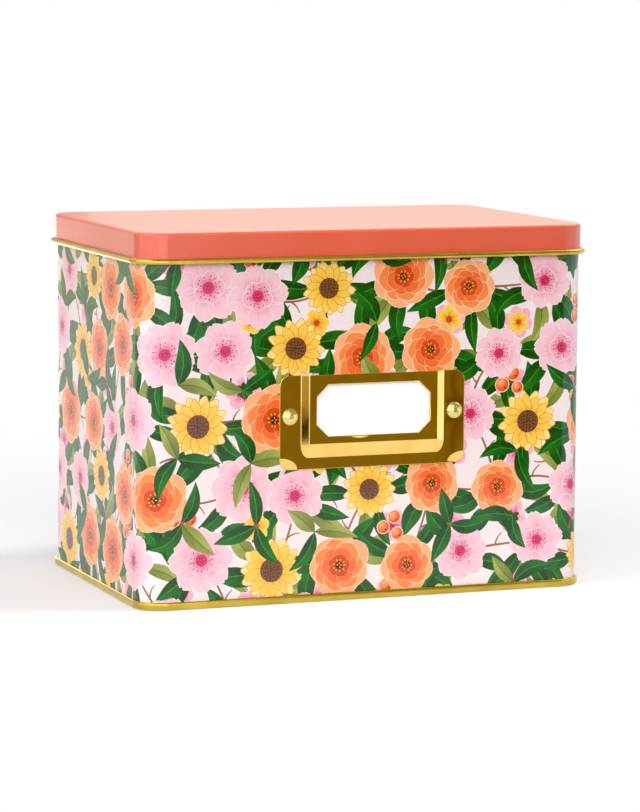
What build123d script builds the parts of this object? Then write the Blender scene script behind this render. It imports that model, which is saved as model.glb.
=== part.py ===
"""Index card tin: a tinplate box with a slip-on lid and a riveted brass label holder.

Millimetres, +Z up. The origin is on the ground under the middle of the tin, the front with the
label holder faces -Y, and +X runs along the width.

Every tinplate piece is drawn the way it is formed: the centre line of the sheet is laid out with
straight runs and bends, given the sheet's thickness, and carried round the rounded rectangle.
Profiles are drawn in a plane whose first axis points outwards from the outer face of the wall and
whose second axis is the height above the ground.
"""

from build123d import *
from math import cos, radians, sin
import os

os.makedirs("parts", exist_ok=True)

# ---- Driving dimensions -------------------------------------------------------------------------

# The box, measured over the outer face of its wall
body_width = 165.0
body_depth = 109.5
total_height = 129.5
corner_radius = 9.0
tin = 0.3

# Double seam that joins the base to the wall
seam_height = 2.8
layer_gap = 0.1
hook_overlap_start = 0.95
hook_tip = 2.2

# Base pan
panel_height = 3.5
panel_bend_radius = 0.9
panel_step_rise = 0.6
panel_step_inset = 6.0
panel_step_run = 1.0
panel_overlap = 0.5

# Rim of the wall
rim_curl_diameter = 1.8
rim_curl_angle = 290.0
rim_to_lid_gap = 0.2

# Lid
lid_clearance = 0.25
lid_skirt = 8.8
lid_edge_radius = 1.5
lid_flat_overlap = 1.0
lid_curl_diameter = 2.0
lid_curl_angle = 300.0

# Bends of the sheet: headings in degrees in a profile's plane, and the flats of a bend
OUTWARD = 0.0
UP = 90.0
DOWN = -90.0
corner_flats = 2
fold_flats = 4
lid_edge_flats = 4
curl_flats = 7

# Lock seam up the middle of the back
lock_seam_half_width = 2.5
lock_layer_gap = 0.05
lock_seam_bottom = 5.0
lock_seam_top = 124.0
lock_jog_start = 0.4
lock_jog_bend = 0.3
lock_patch_margin = 3.0

# Brass label holder
brass = 0.5
plate_width = 69.0
plate_height = 32.8
plate_corner_radius = 3.6
plate_centre_x = 1.2
plate_centre_z = 63.0
pocket_rise = 1.0
pocket_face_width = 47.8
pocket_side_slope = 2.75
pocket_face_bottom = -7.7
pocket_bottom_slope = 4.4
pocket_foot_radius = 3.0
pocket_face_radius = 0.8
window_width = 42.6
window_height = 18.4
window_corner_cut = 4.3
window_centre = 4.0

# Rivets
rivet_spacing = 61.4
rivet_height = 2.15
rivet_head_diameter = 5.8
rivet_head_rise = 1.3
rivet_shank_diameter = 2.4
rivet_hole_diameter = 2.6
rivet_tail_diameter = 4.2
rivet_tail_roll = 0.6
rivet_bore_diameter = 1.3
rivet_bore_depth = 1.4

# Label card
card_width = 50.0
card_thickness = 0.3
card_wall_gap = 0.1
card_bottom_gap = 0.4
card_top_drop = 0.5
card_corner_radius = 2.5

# ---- Planes and paths ---------------------------------------------------------------------------

half_width = body_width / 2
half_depth = body_depth / 2
half_tin = tin / 2

# Profiles start in the middle of the right side, where the sheet's section faces along the depth
profile_plane = Plane(origin=(half_width, 0, 0), x_dir=(1, 0, 0), z_dir=(0, -1, 0))

# The front of the wall, seen from in front, with the label holder's middle as its origin
label_plane = Plane(
    origin=(plate_centre_x, -half_depth, plate_centre_z), x_dir=(1, 0, 0), z_dir=(0, -1, 0)
)

with BuildLine() as wall_path:
    side_start = Line((half_width, 0), (half_width, half_depth - corner_radius))
    rear_right = JernArc(side_start @ 1, side_start % 1, corner_radius, 90)
    rear = Line(rear_right @ 1, (-half_width + corner_radius, half_depth))
    rear_left = JernArc(rear @ 1, rear % 1, corner_radius, 90)
    left = Line(rear_left @ 1, (-half_width, -half_depth + corner_radius))
    front_left = JernArc(left @ 1, left % 1, corner_radius, 90)
    front = Line(front_left @ 1, (half_width - corner_radius, -half_depth))
    front_right = JernArc(front @ 1, front % 1, corner_radius, 90)
    Line(front_right @ 1, side_start @ 0)


def inset_rectangle(inset):
    """Rounded rectangle that lies inside the outer face of the wall by the given inset."""
    return RectangleRounded(
        body_width - 2 * inset, body_depth - 2 * inset, corner_radius - inset
    )


def rolled_bend(start, heading, radius, turn, flats):
    """Draw a bend of the sheet's centre line as equal flats round a circle, and give its end.

    heading and turn are in degrees, and a positive turn is anticlockwise. A bend in thin sheet is
    small beside the corners that it is carried round, and a few flats hold its form.
    """
    step = turn / flats
    chord = 2 * radius * sin(radians(abs(step) / 2))
    for flat in range(flats):
        start = PolarLine(start, chord, heading + step * (flat + 0.5)) @ 1
    return start


# ---- Body wall ----------------------------------------------------------------------------------

# Layers of the double seam, from the wall outwards: wall, cover hook, body hook, seaming wall
layer_pitch = tin + layer_gap
wall_line = -half_tin
cover_hook_line = wall_line + layer_pitch
body_hook_line = wall_line + 2 * layer_pitch
seaming_wall_line = wall_line + 3 * layer_pitch
seam_bend = layer_pitch
half_flat_turn = radians(180 / fold_flats / 2)
body_bend_height = tin + half_tin / cos(half_flat_turn) + seam_bend

rim_height = total_height - tin - rim_to_lid_gap
rim_bend = rim_curl_diameter / 2 - half_tin
rim_bend_height = rim_height - rim_curl_diameter / 2

lock_pitch = tin + lock_layer_gap
lock_jog_far = lock_seam_half_width + lock_jog_start + 3 * lock_pitch
lock_patch_start = -lock_seam_half_width - lock_patch_margin
lock_patch_end = lock_jog_far + lock_patch_margin
lock_height = lock_seam_top - lock_seam_bottom

with BuildPart() as body_wall:
    # One sheet: the hook at its foot, the plain wall, and the curl at its rim
    with BuildSketch(profile_plane):
        with BuildLine():
            hook = Line((body_hook_line, hook_tip), (body_hook_line, body_bend_height))
            wall_foot = rolled_bend(hook @ 1, DOWN, seam_bend, -180, fold_flats)
            wall = Line(wall_foot, (wall_line, rim_bend_height))
            rolled_bend(wall @ 1, UP, rim_bend, rim_curl_angle, curl_flats)
        trace(line_width=tin)
    sweep(path=wall_path.line)

    # The sheet is cut away where its two edges are locked together
    with BuildSketch(Plane.XY.offset(lock_seam_bottom)):
        with Locations(((lock_patch_start + lock_patch_end) / 2, half_depth)):
            Rectangle(lock_patch_end - lock_patch_start, 4 * tin)
    extrude(amount=lock_height, mode=Mode.SUBTRACT)

    # Left edge of the sheet: flush with the wall, folded in and back over the right edge
    with BuildSketch(Plane.XY.offset(lock_seam_bottom)):
        with BuildLine():
            left_skin = Line(
                (lock_patch_start, half_depth - half_tin),
                (lock_seam_half_width, half_depth - half_tin),
            )
            left_fold = JernArc(left_skin @ 1, left_skin % 1, lock_pitch, -180)
            Line(left_fold @ 1, (-lock_seam_half_width, (left_fold @ 1).Y))
        trace(line_width=tin)
    extrude(amount=lock_height)

    # Right edge of the sheet: set in under the seam, folded out and back into the left fold
    with BuildSketch(Plane.XY.offset(lock_seam_bottom)):
        with BuildLine():
            right_skin = FilletPolyline(
                (lock_patch_end, half_depth - half_tin),
                (lock_jog_far, half_depth - half_tin),
                (lock_seam_half_width + lock_jog_start, half_depth - half_tin - 3 * lock_pitch),
                (-lock_seam_half_width, half_depth - half_tin - 3 * lock_pitch),
                radius=lock_jog_bend,
            )
            right_fold = JernArc(right_skin @ 1, right_skin % 1, lock_pitch, -180)
            Line(right_fold @ 1, (lock_seam_half_width, (right_fold @ 1).Y))
        trace(line_width=tin)
    extrude(amount=lock_height)

    # Two holes for the label holder's rivets
    with BuildSketch(label_plane):
        with Locations((0, rivet_height)):
            with GridLocations(rivet_spacing, 0, 2, 1):
                Circle(rivet_hole_diameter / 2)
    extrude(amount=-2 * tin, mode=Mode.SUBTRACT)
body_wall.part.label = "body_wall"

# ---- Base pan -----------------------------------------------------------------------------------

chuck_wall_line = wall_line - layer_pitch
panel_edge = chuck_wall_line - panel_bend_radius
seam_bend_height = seam_height - half_tin - seam_bend
foot_bend = seam_bend + layer_gap
step_top = panel_height + panel_step_rise
step_end = -panel_step_inset - panel_step_run

with BuildPart() as base_pan:
    # From the raised middle down the step, over the countersink and round the double seam
    with BuildSketch(profile_plane):
        with BuildLine():
            panel = Polyline(
                (step_end - panel_overlap, step_top),
                (step_end, step_top),
                (-panel_step_inset, panel_height),
                (panel_edge, panel_height),
            )
            chuck_top = rolled_bend(panel @ 1, OUTWARD, panel_bend_radius, -90, corner_flats)
            chuck_wall = Line(chuck_top, (chuck_wall_line, half_tin + foot_bend))
            foot_start = rolled_bend(chuck_wall @ 1, DOWN, foot_bend, 90, corner_flats)
            foot = Line(foot_start, (seaming_wall_line - foot_bend, half_tin))
            seaming_start = rolled_bend(foot @ 1, OUTWARD, foot_bend, 90, corner_flats)
            seaming_wall = Line(seaming_start, (seaming_wall_line, seam_bend_height))
            cover_hook_start = rolled_bend(seaming_wall @ 1, UP, seam_bend, 180, fold_flats)
            Line(cover_hook_start, (cover_hook_line, hook_overlap_start))
        trace(line_width=tin)
    sweep(path=wall_path.line)

    # The flat middle of the panel
    with BuildSketch(Plane.XY.offset(step_top - half_tin)):
        inset_rectangle(panel_overlap / 2 - step_end)
    extrude(amount=tin)
base_pan.part.label = "base_pan"

# ---- Lid ----------------------------------------------------------------------------------------

skirt_line = lid_clearance + half_tin
lid_bend = lid_edge_radius - half_tin
lid_curl_bend = lid_curl_diameter / 2 - half_tin
lid_curl_height = total_height - lid_skirt - lid_curl_diameter / 2
lid_top_line = total_height - half_tin

with BuildPart() as lid:
    # Edge of the top, the skirt, and the open curl at its foot
    with BuildSketch(profile_plane):
        with BuildLine():
            top_edge = Line(
                (skirt_line - lid_bend - lid_flat_overlap, lid_top_line),
                (skirt_line - lid_bend, lid_top_line),
            )
            skirt_top = rolled_bend(top_edge @ 1, OUTWARD, lid_bend, -90, lid_edge_flats)
            skirt = Line(skirt_top, (skirt_line, lid_curl_height))
            rolled_bend(skirt @ 1, DOWN, lid_curl_bend, lid_curl_angle, curl_flats)
        trace(line_width=tin)
    sweep(path=wall_path.line)

    # The flat top
    with BuildSketch(Plane.XY.offset(total_height - tin)):
        inset_rectangle(lid_bend - skirt_line + lid_flat_overlap / 2)
    extrude(amount=tin)
lid.part.label = "lid"

# ---- Label frame --------------------------------------------------------------------------------

pocket_head = plate_height / 2 + pocket_bottom_slope
pocket_foot_width = pocket_face_width + 2 * pocket_side_slope
pocket_foot_bottom = pocket_face_bottom - pocket_bottom_slope


def raised_pocket(start_height, mode):
    """Pocket form that tapers from its foot up to its face and runs out past the plate's top."""
    with BuildSketch(label_plane.offset(start_height)) as foot_outline:
        with Locations((0, (pocket_head + pocket_foot_bottom) / 2)):
            RectangleRounded(
                pocket_foot_width, pocket_head - pocket_foot_bottom, pocket_foot_radius
            )
    with BuildSketch(label_plane.offset(start_height + pocket_rise)) as face_outline:
        with Locations((0, (pocket_head + pocket_face_bottom) / 2)):
            RectangleRounded(
                pocket_face_width, pocket_head - pocket_face_bottom, pocket_face_radius
            )
    loft([foot_outline.sketch, face_outline.sketch], mode=mode)


with BuildPart() as label_frame:
    with BuildSketch(label_plane):
        RectangleRounded(plate_width, plate_height, plate_corner_radius)
    extrude(amount=brass)

    # The pocket is pressed out of the plate, so its hollow is the same form one thickness behind
    raised_pocket(brass, Mode.ADD)
    raised_pocket(0, Mode.SUBTRACT)

    # The pocket is open at the plate's top edge
    with BuildSketch(label_plane):
        with Locations((0, plate_height / 2)):
            Rectangle(plate_width, plate_height, align=(Align.CENTER, Align.MIN))
    extrude(amount=brass + pocket_rise, mode=Mode.SUBTRACT)

    # Eight-sided window in the pocket's face
    with BuildSketch(label_plane) as window:
        with Locations((0, window_centre)):
            Rectangle(window_width, window_height)
        chamfer(window.vertices(), window_corner_cut)
    extrude(amount=brass + pocket_rise, mode=Mode.SUBTRACT)

    with BuildSketch(label_plane):
        with Locations((0, rivet_height)):
            with GridLocations(rivet_spacing, 0, 2, 1):
                Circle(rivet_hole_diameter / 2)
    extrude(amount=brass, mode=Mode.SUBTRACT)
label_frame.part.label = "label_frame"

# ---- Label rivets -------------------------------------------------------------------------------

head_radius = rivet_head_diameter / 2
shank_radius = rivet_shank_diameter / 2
tail_radius = rivet_tail_diameter / 2
bore_radius = rivet_bore_diameter / 2
bore_floor = rivet_bore_depth - tin - rivet_tail_roll
dome_radius = (head_radius**2 + rivet_head_rise**2) / (2 * rivet_head_rise)

with BuildPart() as rivet:
    # Half section: radius outwards, height along the rivet from the front of the wall
    with BuildSketch(Plane.XZ):
        with BuildLine():
            head_seat = Line((shank_radius, brass), (head_radius, brass))
            dome = RadiusArc(head_seat @ 1, (0, brass + rivet_head_rise), -dome_radius)
            Polyline(
                dome @ 1,
                (0, bore_floor),
                (bore_radius, bore_floor),
                (bore_radius, -tin - rivet_tail_roll / 2),
                (shank_radius, -tin - rivet_tail_roll),
                (tail_radius, -tin - rivet_tail_roll / 2),
                (tail_radius, -tin),
                (shank_radius, -tin),
                head_seat @ 0,
            )
        make_face()
    revolve(axis=Axis.Z)

with BuildPart() as label_rivets:
    with Locations(label_plane):
        with Locations((0, rivet_height)):
            with GridLocations(rivet_spacing, 0, 2, 1):
                add(rivet.part)
label_rivets.part.label = "label_rivets"

# ---- Label card ---------------------------------------------------------------------------------

card_top = plate_height / 2 - card_top_drop
card_bottom = pocket_foot_bottom + pocket_bottom_slope * (
    (card_wall_gap + card_thickness) / pocket_rise
) + card_bottom_gap

with BuildPart() as label_card:
    with BuildSketch(label_plane.offset(card_wall_gap)):
        with Locations((0, (card_top + card_bottom) / 2)):
            RectangleRounded(card_width, card_top - card_bottom, card_corner_radius)
    extrude(amount=card_thickness)
label_card.part.label = "label_card"

# ---- Export -------------------------------------------------------------------------------------

for piece in (body_wall, base_pan, lid, label_frame, label_rivets, label_card):
    export_step(piece.part, f"parts/{piece.part.label}.step")
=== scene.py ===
"""Looks of the index card tin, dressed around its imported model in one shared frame.

The tin is a lithographed tinplate box with a coral slip-on lid, rolled gold rims and a riveted
brass label holder. Sizes are written in millimetres and meshes are made in metres. +Z is up, the
front with the label holder faces -Y, and the origin is on the ground under the middle of the tin.

Bent sheet is a centre line of runs and bends with the sheet's thickness to both sides, carried
round the rounded rectangle of the wall. The print is drawn flat, as the sheet is printed, cut into
regions of one ink each, and then wrapped round the wall by the wall's own formula.
"""

import logging
import math
from collections.abc import Sequence
from dataclasses import dataclass, field
from enum import Enum

import bpy
import numpy as np
from mathutils import Matrix, Vector
from mathutils.bvhtree import BVHTree
from mathutils.geometry import delaunay_2d_cdt


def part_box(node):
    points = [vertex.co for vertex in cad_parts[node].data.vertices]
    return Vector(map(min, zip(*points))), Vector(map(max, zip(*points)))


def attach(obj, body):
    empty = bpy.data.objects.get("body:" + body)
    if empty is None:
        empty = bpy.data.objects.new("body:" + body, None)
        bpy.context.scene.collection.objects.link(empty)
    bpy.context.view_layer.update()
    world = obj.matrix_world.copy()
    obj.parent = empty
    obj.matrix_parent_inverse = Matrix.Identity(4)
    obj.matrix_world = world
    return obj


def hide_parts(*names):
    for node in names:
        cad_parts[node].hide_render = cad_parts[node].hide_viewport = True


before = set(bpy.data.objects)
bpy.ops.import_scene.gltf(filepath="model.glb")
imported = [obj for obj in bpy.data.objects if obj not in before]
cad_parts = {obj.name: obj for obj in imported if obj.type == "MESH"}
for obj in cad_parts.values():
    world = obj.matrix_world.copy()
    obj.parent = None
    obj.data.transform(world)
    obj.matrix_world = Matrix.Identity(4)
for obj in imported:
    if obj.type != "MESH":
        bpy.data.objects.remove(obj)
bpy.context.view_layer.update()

LOG = logging.getLogger("card_tin")
Array = np.ndarray
Material = bpy.types.Material
Object = bpy.types.Object
Node = bpy.types.Node
Tree = bpy.types.NodeTree
Socket = bpy.types.NodeSocket
Pair = tuple[float, float]
Triple = tuple[float, float, float]
MM = 0.001
QUARTER = math.pi / 2
WHITE = (1.0, 1.0, 1.0, 1.0)
# Most of a noise texture's values lie in the first span, and half of them in the second
NOISE_SPAN = (0.3, 0.7)
NOISE_MIDDLE = (0.35, 0.65)


# ---- Colour and shader helpers ----


def linear(hex_colour: str) -> tuple[float, float, float, float]:
    """Turn an sRGB hex colour such as "#E2674E" into linear red, green, blue and alpha 1.

    Args:
        hex_colour: A hash and six hex digits.

    Returns:
        Linear components, by the sRGB curve ((c + 0.055) / 1.055) ** 2.4, or c / 12.92 when dark.
    """
    coded = [int(hex_colour[i:i + 2], 16) / 255 for i in (1, 3, 5)]
    red, green, blue = [c / 12.92 if c <= 0.04045 else ((c + 0.055) / 1.055) ** 2.4 for c in coded]
    return red, green, blue, 1.0


def add_node(tree: Tree, kind: str, inputs: dict | Sequence = (), **settings) -> Node:
    """Add one shader node, give it its settings, and fill or link its inputs.

    Args:
        tree: The node tree that the node goes into.
        kind: The node's type after "ShaderNode", such as "Math".
        inputs: What goes into the first sockets in their order, or into sockets by name or number:
            a value, an output socket, or a node for its first output.
        settings: The node's own settings by name.

    Returns:
        The new node.
    """
    node = tree.nodes.new("ShaderNode" + kind)
    for name, value in settings.items():
        setattr(node, name, value)
    for socket, value in (inputs if isinstance(inputs, dict) else dict(enumerate(inputs))).items():
        if isinstance(value, Node):
            value = value.outputs[0]
        if isinstance(value, Socket):
            tree.links.new(value, node.inputs[socket])
        else:
            node.inputs[socket].default_value = value
    return node


def new_material(name: str) -> tuple[Material, Tree]:
    """Make a material whose node tree is empty, and hand back both."""
    material = bpy.data.materials.new(name)
    material.use_nodes = True
    material.node_tree.nodes.clear()
    return material, material.node_tree


def put(name: str, data: bpy.types.ID) -> Object:
    """Make an object from its mesh, lamp or camera, and link it to the scene."""
    made = bpy.data.objects.new(name, data)
    bpy.context.scene.collection.objects.link(made)
    return made


# ---- Finishes ----


class Ink(Enum):
    """Inks of the lithographed sheet: the tone at a motif's rim, and the tone near its heart."""

    GROUND = ("#F8E7E6", "#F8E7E6")
    TWIG = ("#A0674A", "#7C4430")
    LEAF = ("#146E18", "#004C06")
    LEAF_SHADE = ("#07560C", "#003E04")
    LEAF_VEIN = ("#4C9A38", "#348228")
    SAGE = ("#A9B05C", "#8A9440")
    SAGE_SHADE = ("#8F9848", "#748030")
    SAGE_VEIN = ("#5C6624", "#5C6624")
    APRICOT = ("#FFB07A", "#F98444")
    ORANGE = ("#FB8A48", "#F0622A")
    CORAL = ("#F66E38", "#E04C18")
    EMBER = ("#D8481A", "#B43A14")
    BERRY = ("#E8541E", "#FF9A5C")
    PEACH_LIGHT = ("#FFDDBC", "#FFC898")
    YELLOW = ("#FFCE55", "#FBAF34")
    YELLOW_LIGHT = ("#FFE08C", "#FFC95A")
    OCHRE = ("#E29428", "#C97F28")
    SEED = ("#93623C", "#7A4C2C")
    SEED_DARK = ("#4B2418", "#3B1A10")
    PINK = ("#FCCBD5", "#F49DB7")
    PINK_SHADE = ("#F9B2C5", "#EF82A4")
    PINK_LIGHT = ("#FFEAEE", "#FCD8E1")
    ROSE = ("#EC5484", "#DA3468")
    WINE = ("#B02048", "#901838")
    HOLE = ("#000000", "#000000")
    BARE = ("#D9B24C", "#D9B24C")


@dataclass(frozen=True)
class LithographedTinplate:
    """Sheet printed flat in opaque litho inks over a white base coat, under clear stoving varnish.

    The inks give flat, slightly brushy colour, and the varnish a clear gloss that turns pale where
    the sheet is seen at a low angle.

    The streaks' scale is their fineness round a motif, outwards, and between motifs. Their weight
    is how far they shift the change from the heart's ink to the rim's, which lies between two
    shares of a motif's reach. The mottle's span is two factors on the brightness, and the flutes'
    stretch a factor on their scale along Z, which draws them long. Sizes are in millimetres.
    """

    varnish_ior: float = 1.5
    varnish_roughness: float = 0.1
    ink_roughness: float = 0.42
    ink_gloss: float = 0.0
    streak_scale: Triple = (7.0 / 0.9, 1.4, 90.0)
    streak_weight: float = 0.55
    heart_to_rim: Pair = (0.42, 1.05)
    mottle_size: float = 0.7
    mottle_span: Pair = (0.965, 1.035)
    flute_size: float = 1.4
    flute_height: float = 0.007
    flute_stretch: float = 0.08

    def material(self) -> Material:
        """Make the material. It reads each region's inks and motif from attributes of the sheet."""
        made, tree = new_material("lithographed_tinplate")
        sheet, motif, rim_ink, heart_ink = (
            add_node(tree, "Attribute", attribute_name=name)
            for name in ("sheet_mm", "motif", "ink", "ink_heart")
        )
        heart = motif.outputs["Vector"]
        flat_place = sheet.outputs["Vector"]
        offset = add_node(tree, "VectorMath", (flat_place, heart), operation="SUBTRACT")
        x, y, _ = add_node(tree, "SeparateXYZ", (offset,)).outputs
        scale = add_node(tree, "SeparateXYZ", (heart,)).outputs[2]
        flat = add_node(tree, "CombineXYZ", (x, y))
        reach = add_node(tree, "VectorMath", (flat,), operation="LENGTH").outputs["Value"]
        share = add_node(tree, "Math", (reach, scale), operation="MULTIPLY")
        # Brush streaks run outwards from a motif's heart: noise over the angle, drawn long radially
        angle = add_node(tree, "Math", (y, x), operation="ARCTAN2")
        round_heart = add_node(tree, "CombineXYZ", (angle, share, scale))
        scaled = add_node(tree, "VectorMath", (round_heart, self.streak_scale), operation="MULTIPLY")
        streaks = add_node(tree, "TexNoise", {"Vector": scaled, "Scale": 1.0, "Detail": 2.0})
        weighed = (streaks, self.streak_weight, share)
        streaked = add_node(tree, "Math", weighed, operation="MULTIPLY_ADD")
        blend = add_node(
            tree, "MapRange", (streaked, *self.heart_to_rim), interpolation_type="SMOOTHSTEP"
        )
        inks = {0: blend, 6: heart_ink.outputs["Color"], 7: rim_ink.outputs["Color"]}
        ink = add_node(tree, "Mix", inks, data_type="RGBA").outputs[2]
        # Ink mottle: a slight unevenness of the laid ink, drawn coarse enough to show
        mottle = add_node(
            tree, "TexNoise", {"Vector": flat_place, "Scale": 1 / self.mottle_size, "Detail": 3.0}
        )
        strength = add_node(tree, "MapRange", (mottle, *NOISE_SPAN, *self.mottle_span))
        printed = add_node(tree, "VectorMath", {0: ink, 3: strength}, operation="SCALE")
        # Flutes: the forming rolls leave faint upright waves, which streak a reflection at a corner
        place = add_node(tree, "TexCoord").outputs["Object"]
        upright = add_node(tree, "Mapping", {0: place, 3: (1.0, 1.0, self.flute_stretch)})
        flutes = add_node(
            tree, "TexNoise", {"Vector": upright, "Scale": 1 / (self.flute_size * MM), "Detail": 1.0}
        )
        bump = add_node(tree, "Bump", {"Height": flutes, "Distance": self.flute_height * MM})
        shader = add_node(tree, "BsdfPrincipled", {
            "Base Color": printed, "Roughness": self.ink_roughness, "IOR": self.varnish_ior,
            "Specular IOR Level": self.ink_gloss, "Coat Weight": 1.0, "Coat IOR": self.varnish_ior,
            "Coat Roughness": self.varnish_roughness, "Normal": bump, "Coat Normal": bump,
        })
        add_node(tree, "OutputMaterial", (shader,))
        return made


@dataclass(frozen=True)
class StovedEnamel:
    """Coral enamel rolled on to tinplate and stoved: an even satin gloss with a fine grain.

    Its tone changes to dark, where it lies thicker, over a span of the summed noises, and the grain
    takes its roughness to either side by the roughness span. Sizes are in millimetres.
    """

    colour: str = "#E66042"
    dark: str = "#DD573A"
    tone_span: Pair = (0.8, 1.2)
    enamel_ior: float = 1.5
    roughness: float = 0.34
    roughness_span: Pair = (-0.05, 0.07)
    coat_weight: float = 0.55
    coat_roughness: float = 0.17
    grain_size: float = 0.45
    grain_height: float = 0.0022
    cloud_size: float = 28.0

    def material(self) -> Material:
        """Make the material: slow clouds of tone, fine grain in the gloss, and a clear top coat."""
        made, tree = new_material("stoved_coral_enamel")
        place = add_node(tree, "TexCoord").outputs["Object"]
        clouds, grain = (
            add_node(tree, "TexNoise", {"Vector": place, "Scale": 1 / (size * MM), "Detail": detail})
            for size, detail in ((self.cloud_size, 3.0), (self.grain_size, 2.0))
        )
        both = add_node(tree, "Math", (clouds, grain), operation="ADD")
        amount = add_node(tree, "MapRange", (both, *self.tone_span))
        tones = {0: amount, 6: linear(self.dark), 7: linear(self.colour)}
        ends = [self.roughness + change for change in self.roughness_span]
        shader = add_node(tree, "BsdfPrincipled", {
            "Base Color": add_node(tree, "Mix", tones, data_type="RGBA").outputs[2],
            "Roughness": add_node(tree, "MapRange", (grain, *NOISE_SPAN, *ends)),
            "IOR": self.enamel_ior, "Coat Weight": self.coat_weight,
            "Coat IOR": self.enamel_ior, "Coat Roughness": self.coat_roughness,
            "Normal": add_node(tree, "Bump", {"Height": grain, "Distance": self.grain_height * MM}),
        })
        add_node(tree, "OutputMaterial", (shader,))
        return made


@dataclass(frozen=True)
class MetalFinish:
    """A bare or lacquered metal whose tone and gloss vary a little over the surface.

    Bright is the clean metal's reflectance head-on, and dull its colour where the film is thicker
    or the metal is handled. The clouds vary tone and gloss slowly, the gloss by the spread to
    either side. The grain is fine marks, and its stretch three factors on their scale. Lacquer is
    the weight of a clear coat, which pales the metal at low angles. Sizes are in millimetres.
    """

    name: str
    bright: str
    dull: str
    roughness: float
    spread: float
    cloud_size: float
    grain_size: float
    grain_height: float
    grain_stretch: Triple = (1.0, 1.0, 1.0)
    lacquer: float = 0.0
    lacquer_ior: float = 1.5
    lacquer_roughness: float = 0.12

    def material(self) -> Material:
        """Make the material from slow clouds for tone and gloss, and fine marks for the bump."""
        made, tree = new_material(self.name)
        place = add_node(tree, "TexCoord").outputs["Object"]
        stretched = add_node(tree, "Mapping", {0: place, 3: self.grain_stretch})
        clouds, grain = (
            add_node(tree, "TexNoise", {"Vector": where, "Scale": 1 / (size * MM), "Detail": detail})
            for where, size, detail in (
                (place, self.cloud_size, 4.0), (stretched, self.grain_size, 2.0),
            )
        )
        tone = add_node(tree, "MapRange", (clouds, *NOISE_MIDDLE))
        tones = {0: tone, 6: linear(self.dull), 7: linear(self.bright)}
        ends = self.roughness + self.spread, self.roughness - self.spread
        shader = add_node(tree, "BsdfPrincipled", {
            "Base Color": add_node(tree, "Mix", tones, data_type="RGBA").outputs[2],
            "Metallic": 1.0,
            "Roughness": add_node(tree, "MapRange", (clouds, *NOISE_SPAN, *ends)),
            "Normal": add_node(tree, "Bump", {"Height": grain, "Distance": self.grain_height * MM}),
            "Coat Weight": self.lacquer, "Coat IOR": self.lacquer_ior,
            "Coat Roughness": self.lacquer_roughness,
        })
        add_node(tree, "OutputMaterial", (shader,))
        return made


@dataclass(frozen=True)
class CardStock:
    """Uncoated white card with a fine, faint tooth. Its faint white glow is painted light, which lifts the
    card where the window shades it.

    Dull is its colour between the fibres, whose noise has a span over which the tone changes, and
    tooth the strength of their bump. Sizes are in millimetres.
    """

    bright: str = "#FFFFFF"
    dull: str = "#FBFAF8"
    tone_span: Pair = (0.35, 0.6)
    roughness: float = 0.85
    ior: float = 1.45
    # Strength of the card's white glow: painted light that lifts the card out of the window's shade
    shade_lifting_glow: float = 0.1
    fibre_size: float = 0.35
    fibre_height: float = 0.008
    tooth: float = 0.6

    def material(self) -> Material:
        """Make the material: fibres give a slight bump and a slightly uneven white, and a faint white glow
        is painted light.
        """
        made, tree = new_material("white_card_stock")
        place = add_node(tree, "TexCoord").outputs["Object"]
        fibre = add_node(
            tree, "TexNoise", {"Vector": place, "Scale": 1 / (self.fibre_size * MM), "Detail": 4.0}
        )
        tone = add_node(tree, "MapRange", (fibre, *self.tone_span))
        tones = {0: tone, 6: linear(self.dull), 7: linear(self.bright)}
        raised = {"Height": fibre, "Strength": self.tooth, "Distance": self.fibre_height * MM}
        # The white emission is painted light, which brightens the shaded card under any lamp
        shader = add_node(tree, "BsdfPrincipled", {
            "Base Color": add_node(tree, "Mix", tones, data_type="RGBA").outputs[2],
            "Roughness": self.roughness, "IOR": self.ior, "Emission Color": WHITE,
            "Emission Strength": self.shade_lifting_glow, "Normal": add_node(tree, "Bump", raised),
        })
        add_node(tree, "OutputMaterial", (shader,))
        return made


# Tinplate under gold stoving lacquer: a clean yellow gold, glossy, slightly deeper where thick
GOLD_LACQUER = MetalFinish(
    name="gold_lacquered_tinplate", bright="#D2B644", dull="#BEA132", roughness=0.24, spread=0.03,
    cloud_size=12.0, grain_size=0.6, grain_height=0.0006, grain_stretch=(0.25, 0.25, 1.0),
    lacquer=0.5,
)
# Pressed and polished brass under clear lacquer: sharp reflections, faint polishing marks
HOLDER_BRASS = MetalFinish(
    name="polished_brass", bright="#F8D27A", dull="#EFC263", roughness=0.055, spread=0.015,
    cloud_size=9.0, grain_size=0.5, grain_height=0.0002, grain_stretch=(0.2, 1.0, 1.0),
)
# Brass-plated rivets: paler and softer in gloss than the pressed plate
RIVET_BRASS = MetalFinish(
    name="plated_rivet_brass", bright="#F0DE98", dull="#D6C273", roughness=0.26, spread=0.05,
    cloud_size=1.1, grain_size=0.9, grain_height=0.02,
)


# ---- Mesh helpers ----


class Skin(Enum):
    """Which of a piece's two finishes a face takes."""

    FACE = 0
    BACK = 1


# Corners of the two triangles that a four-sided cell is cut into
HALVES = ([0, 1, 2], [0, 2, 3])


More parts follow.
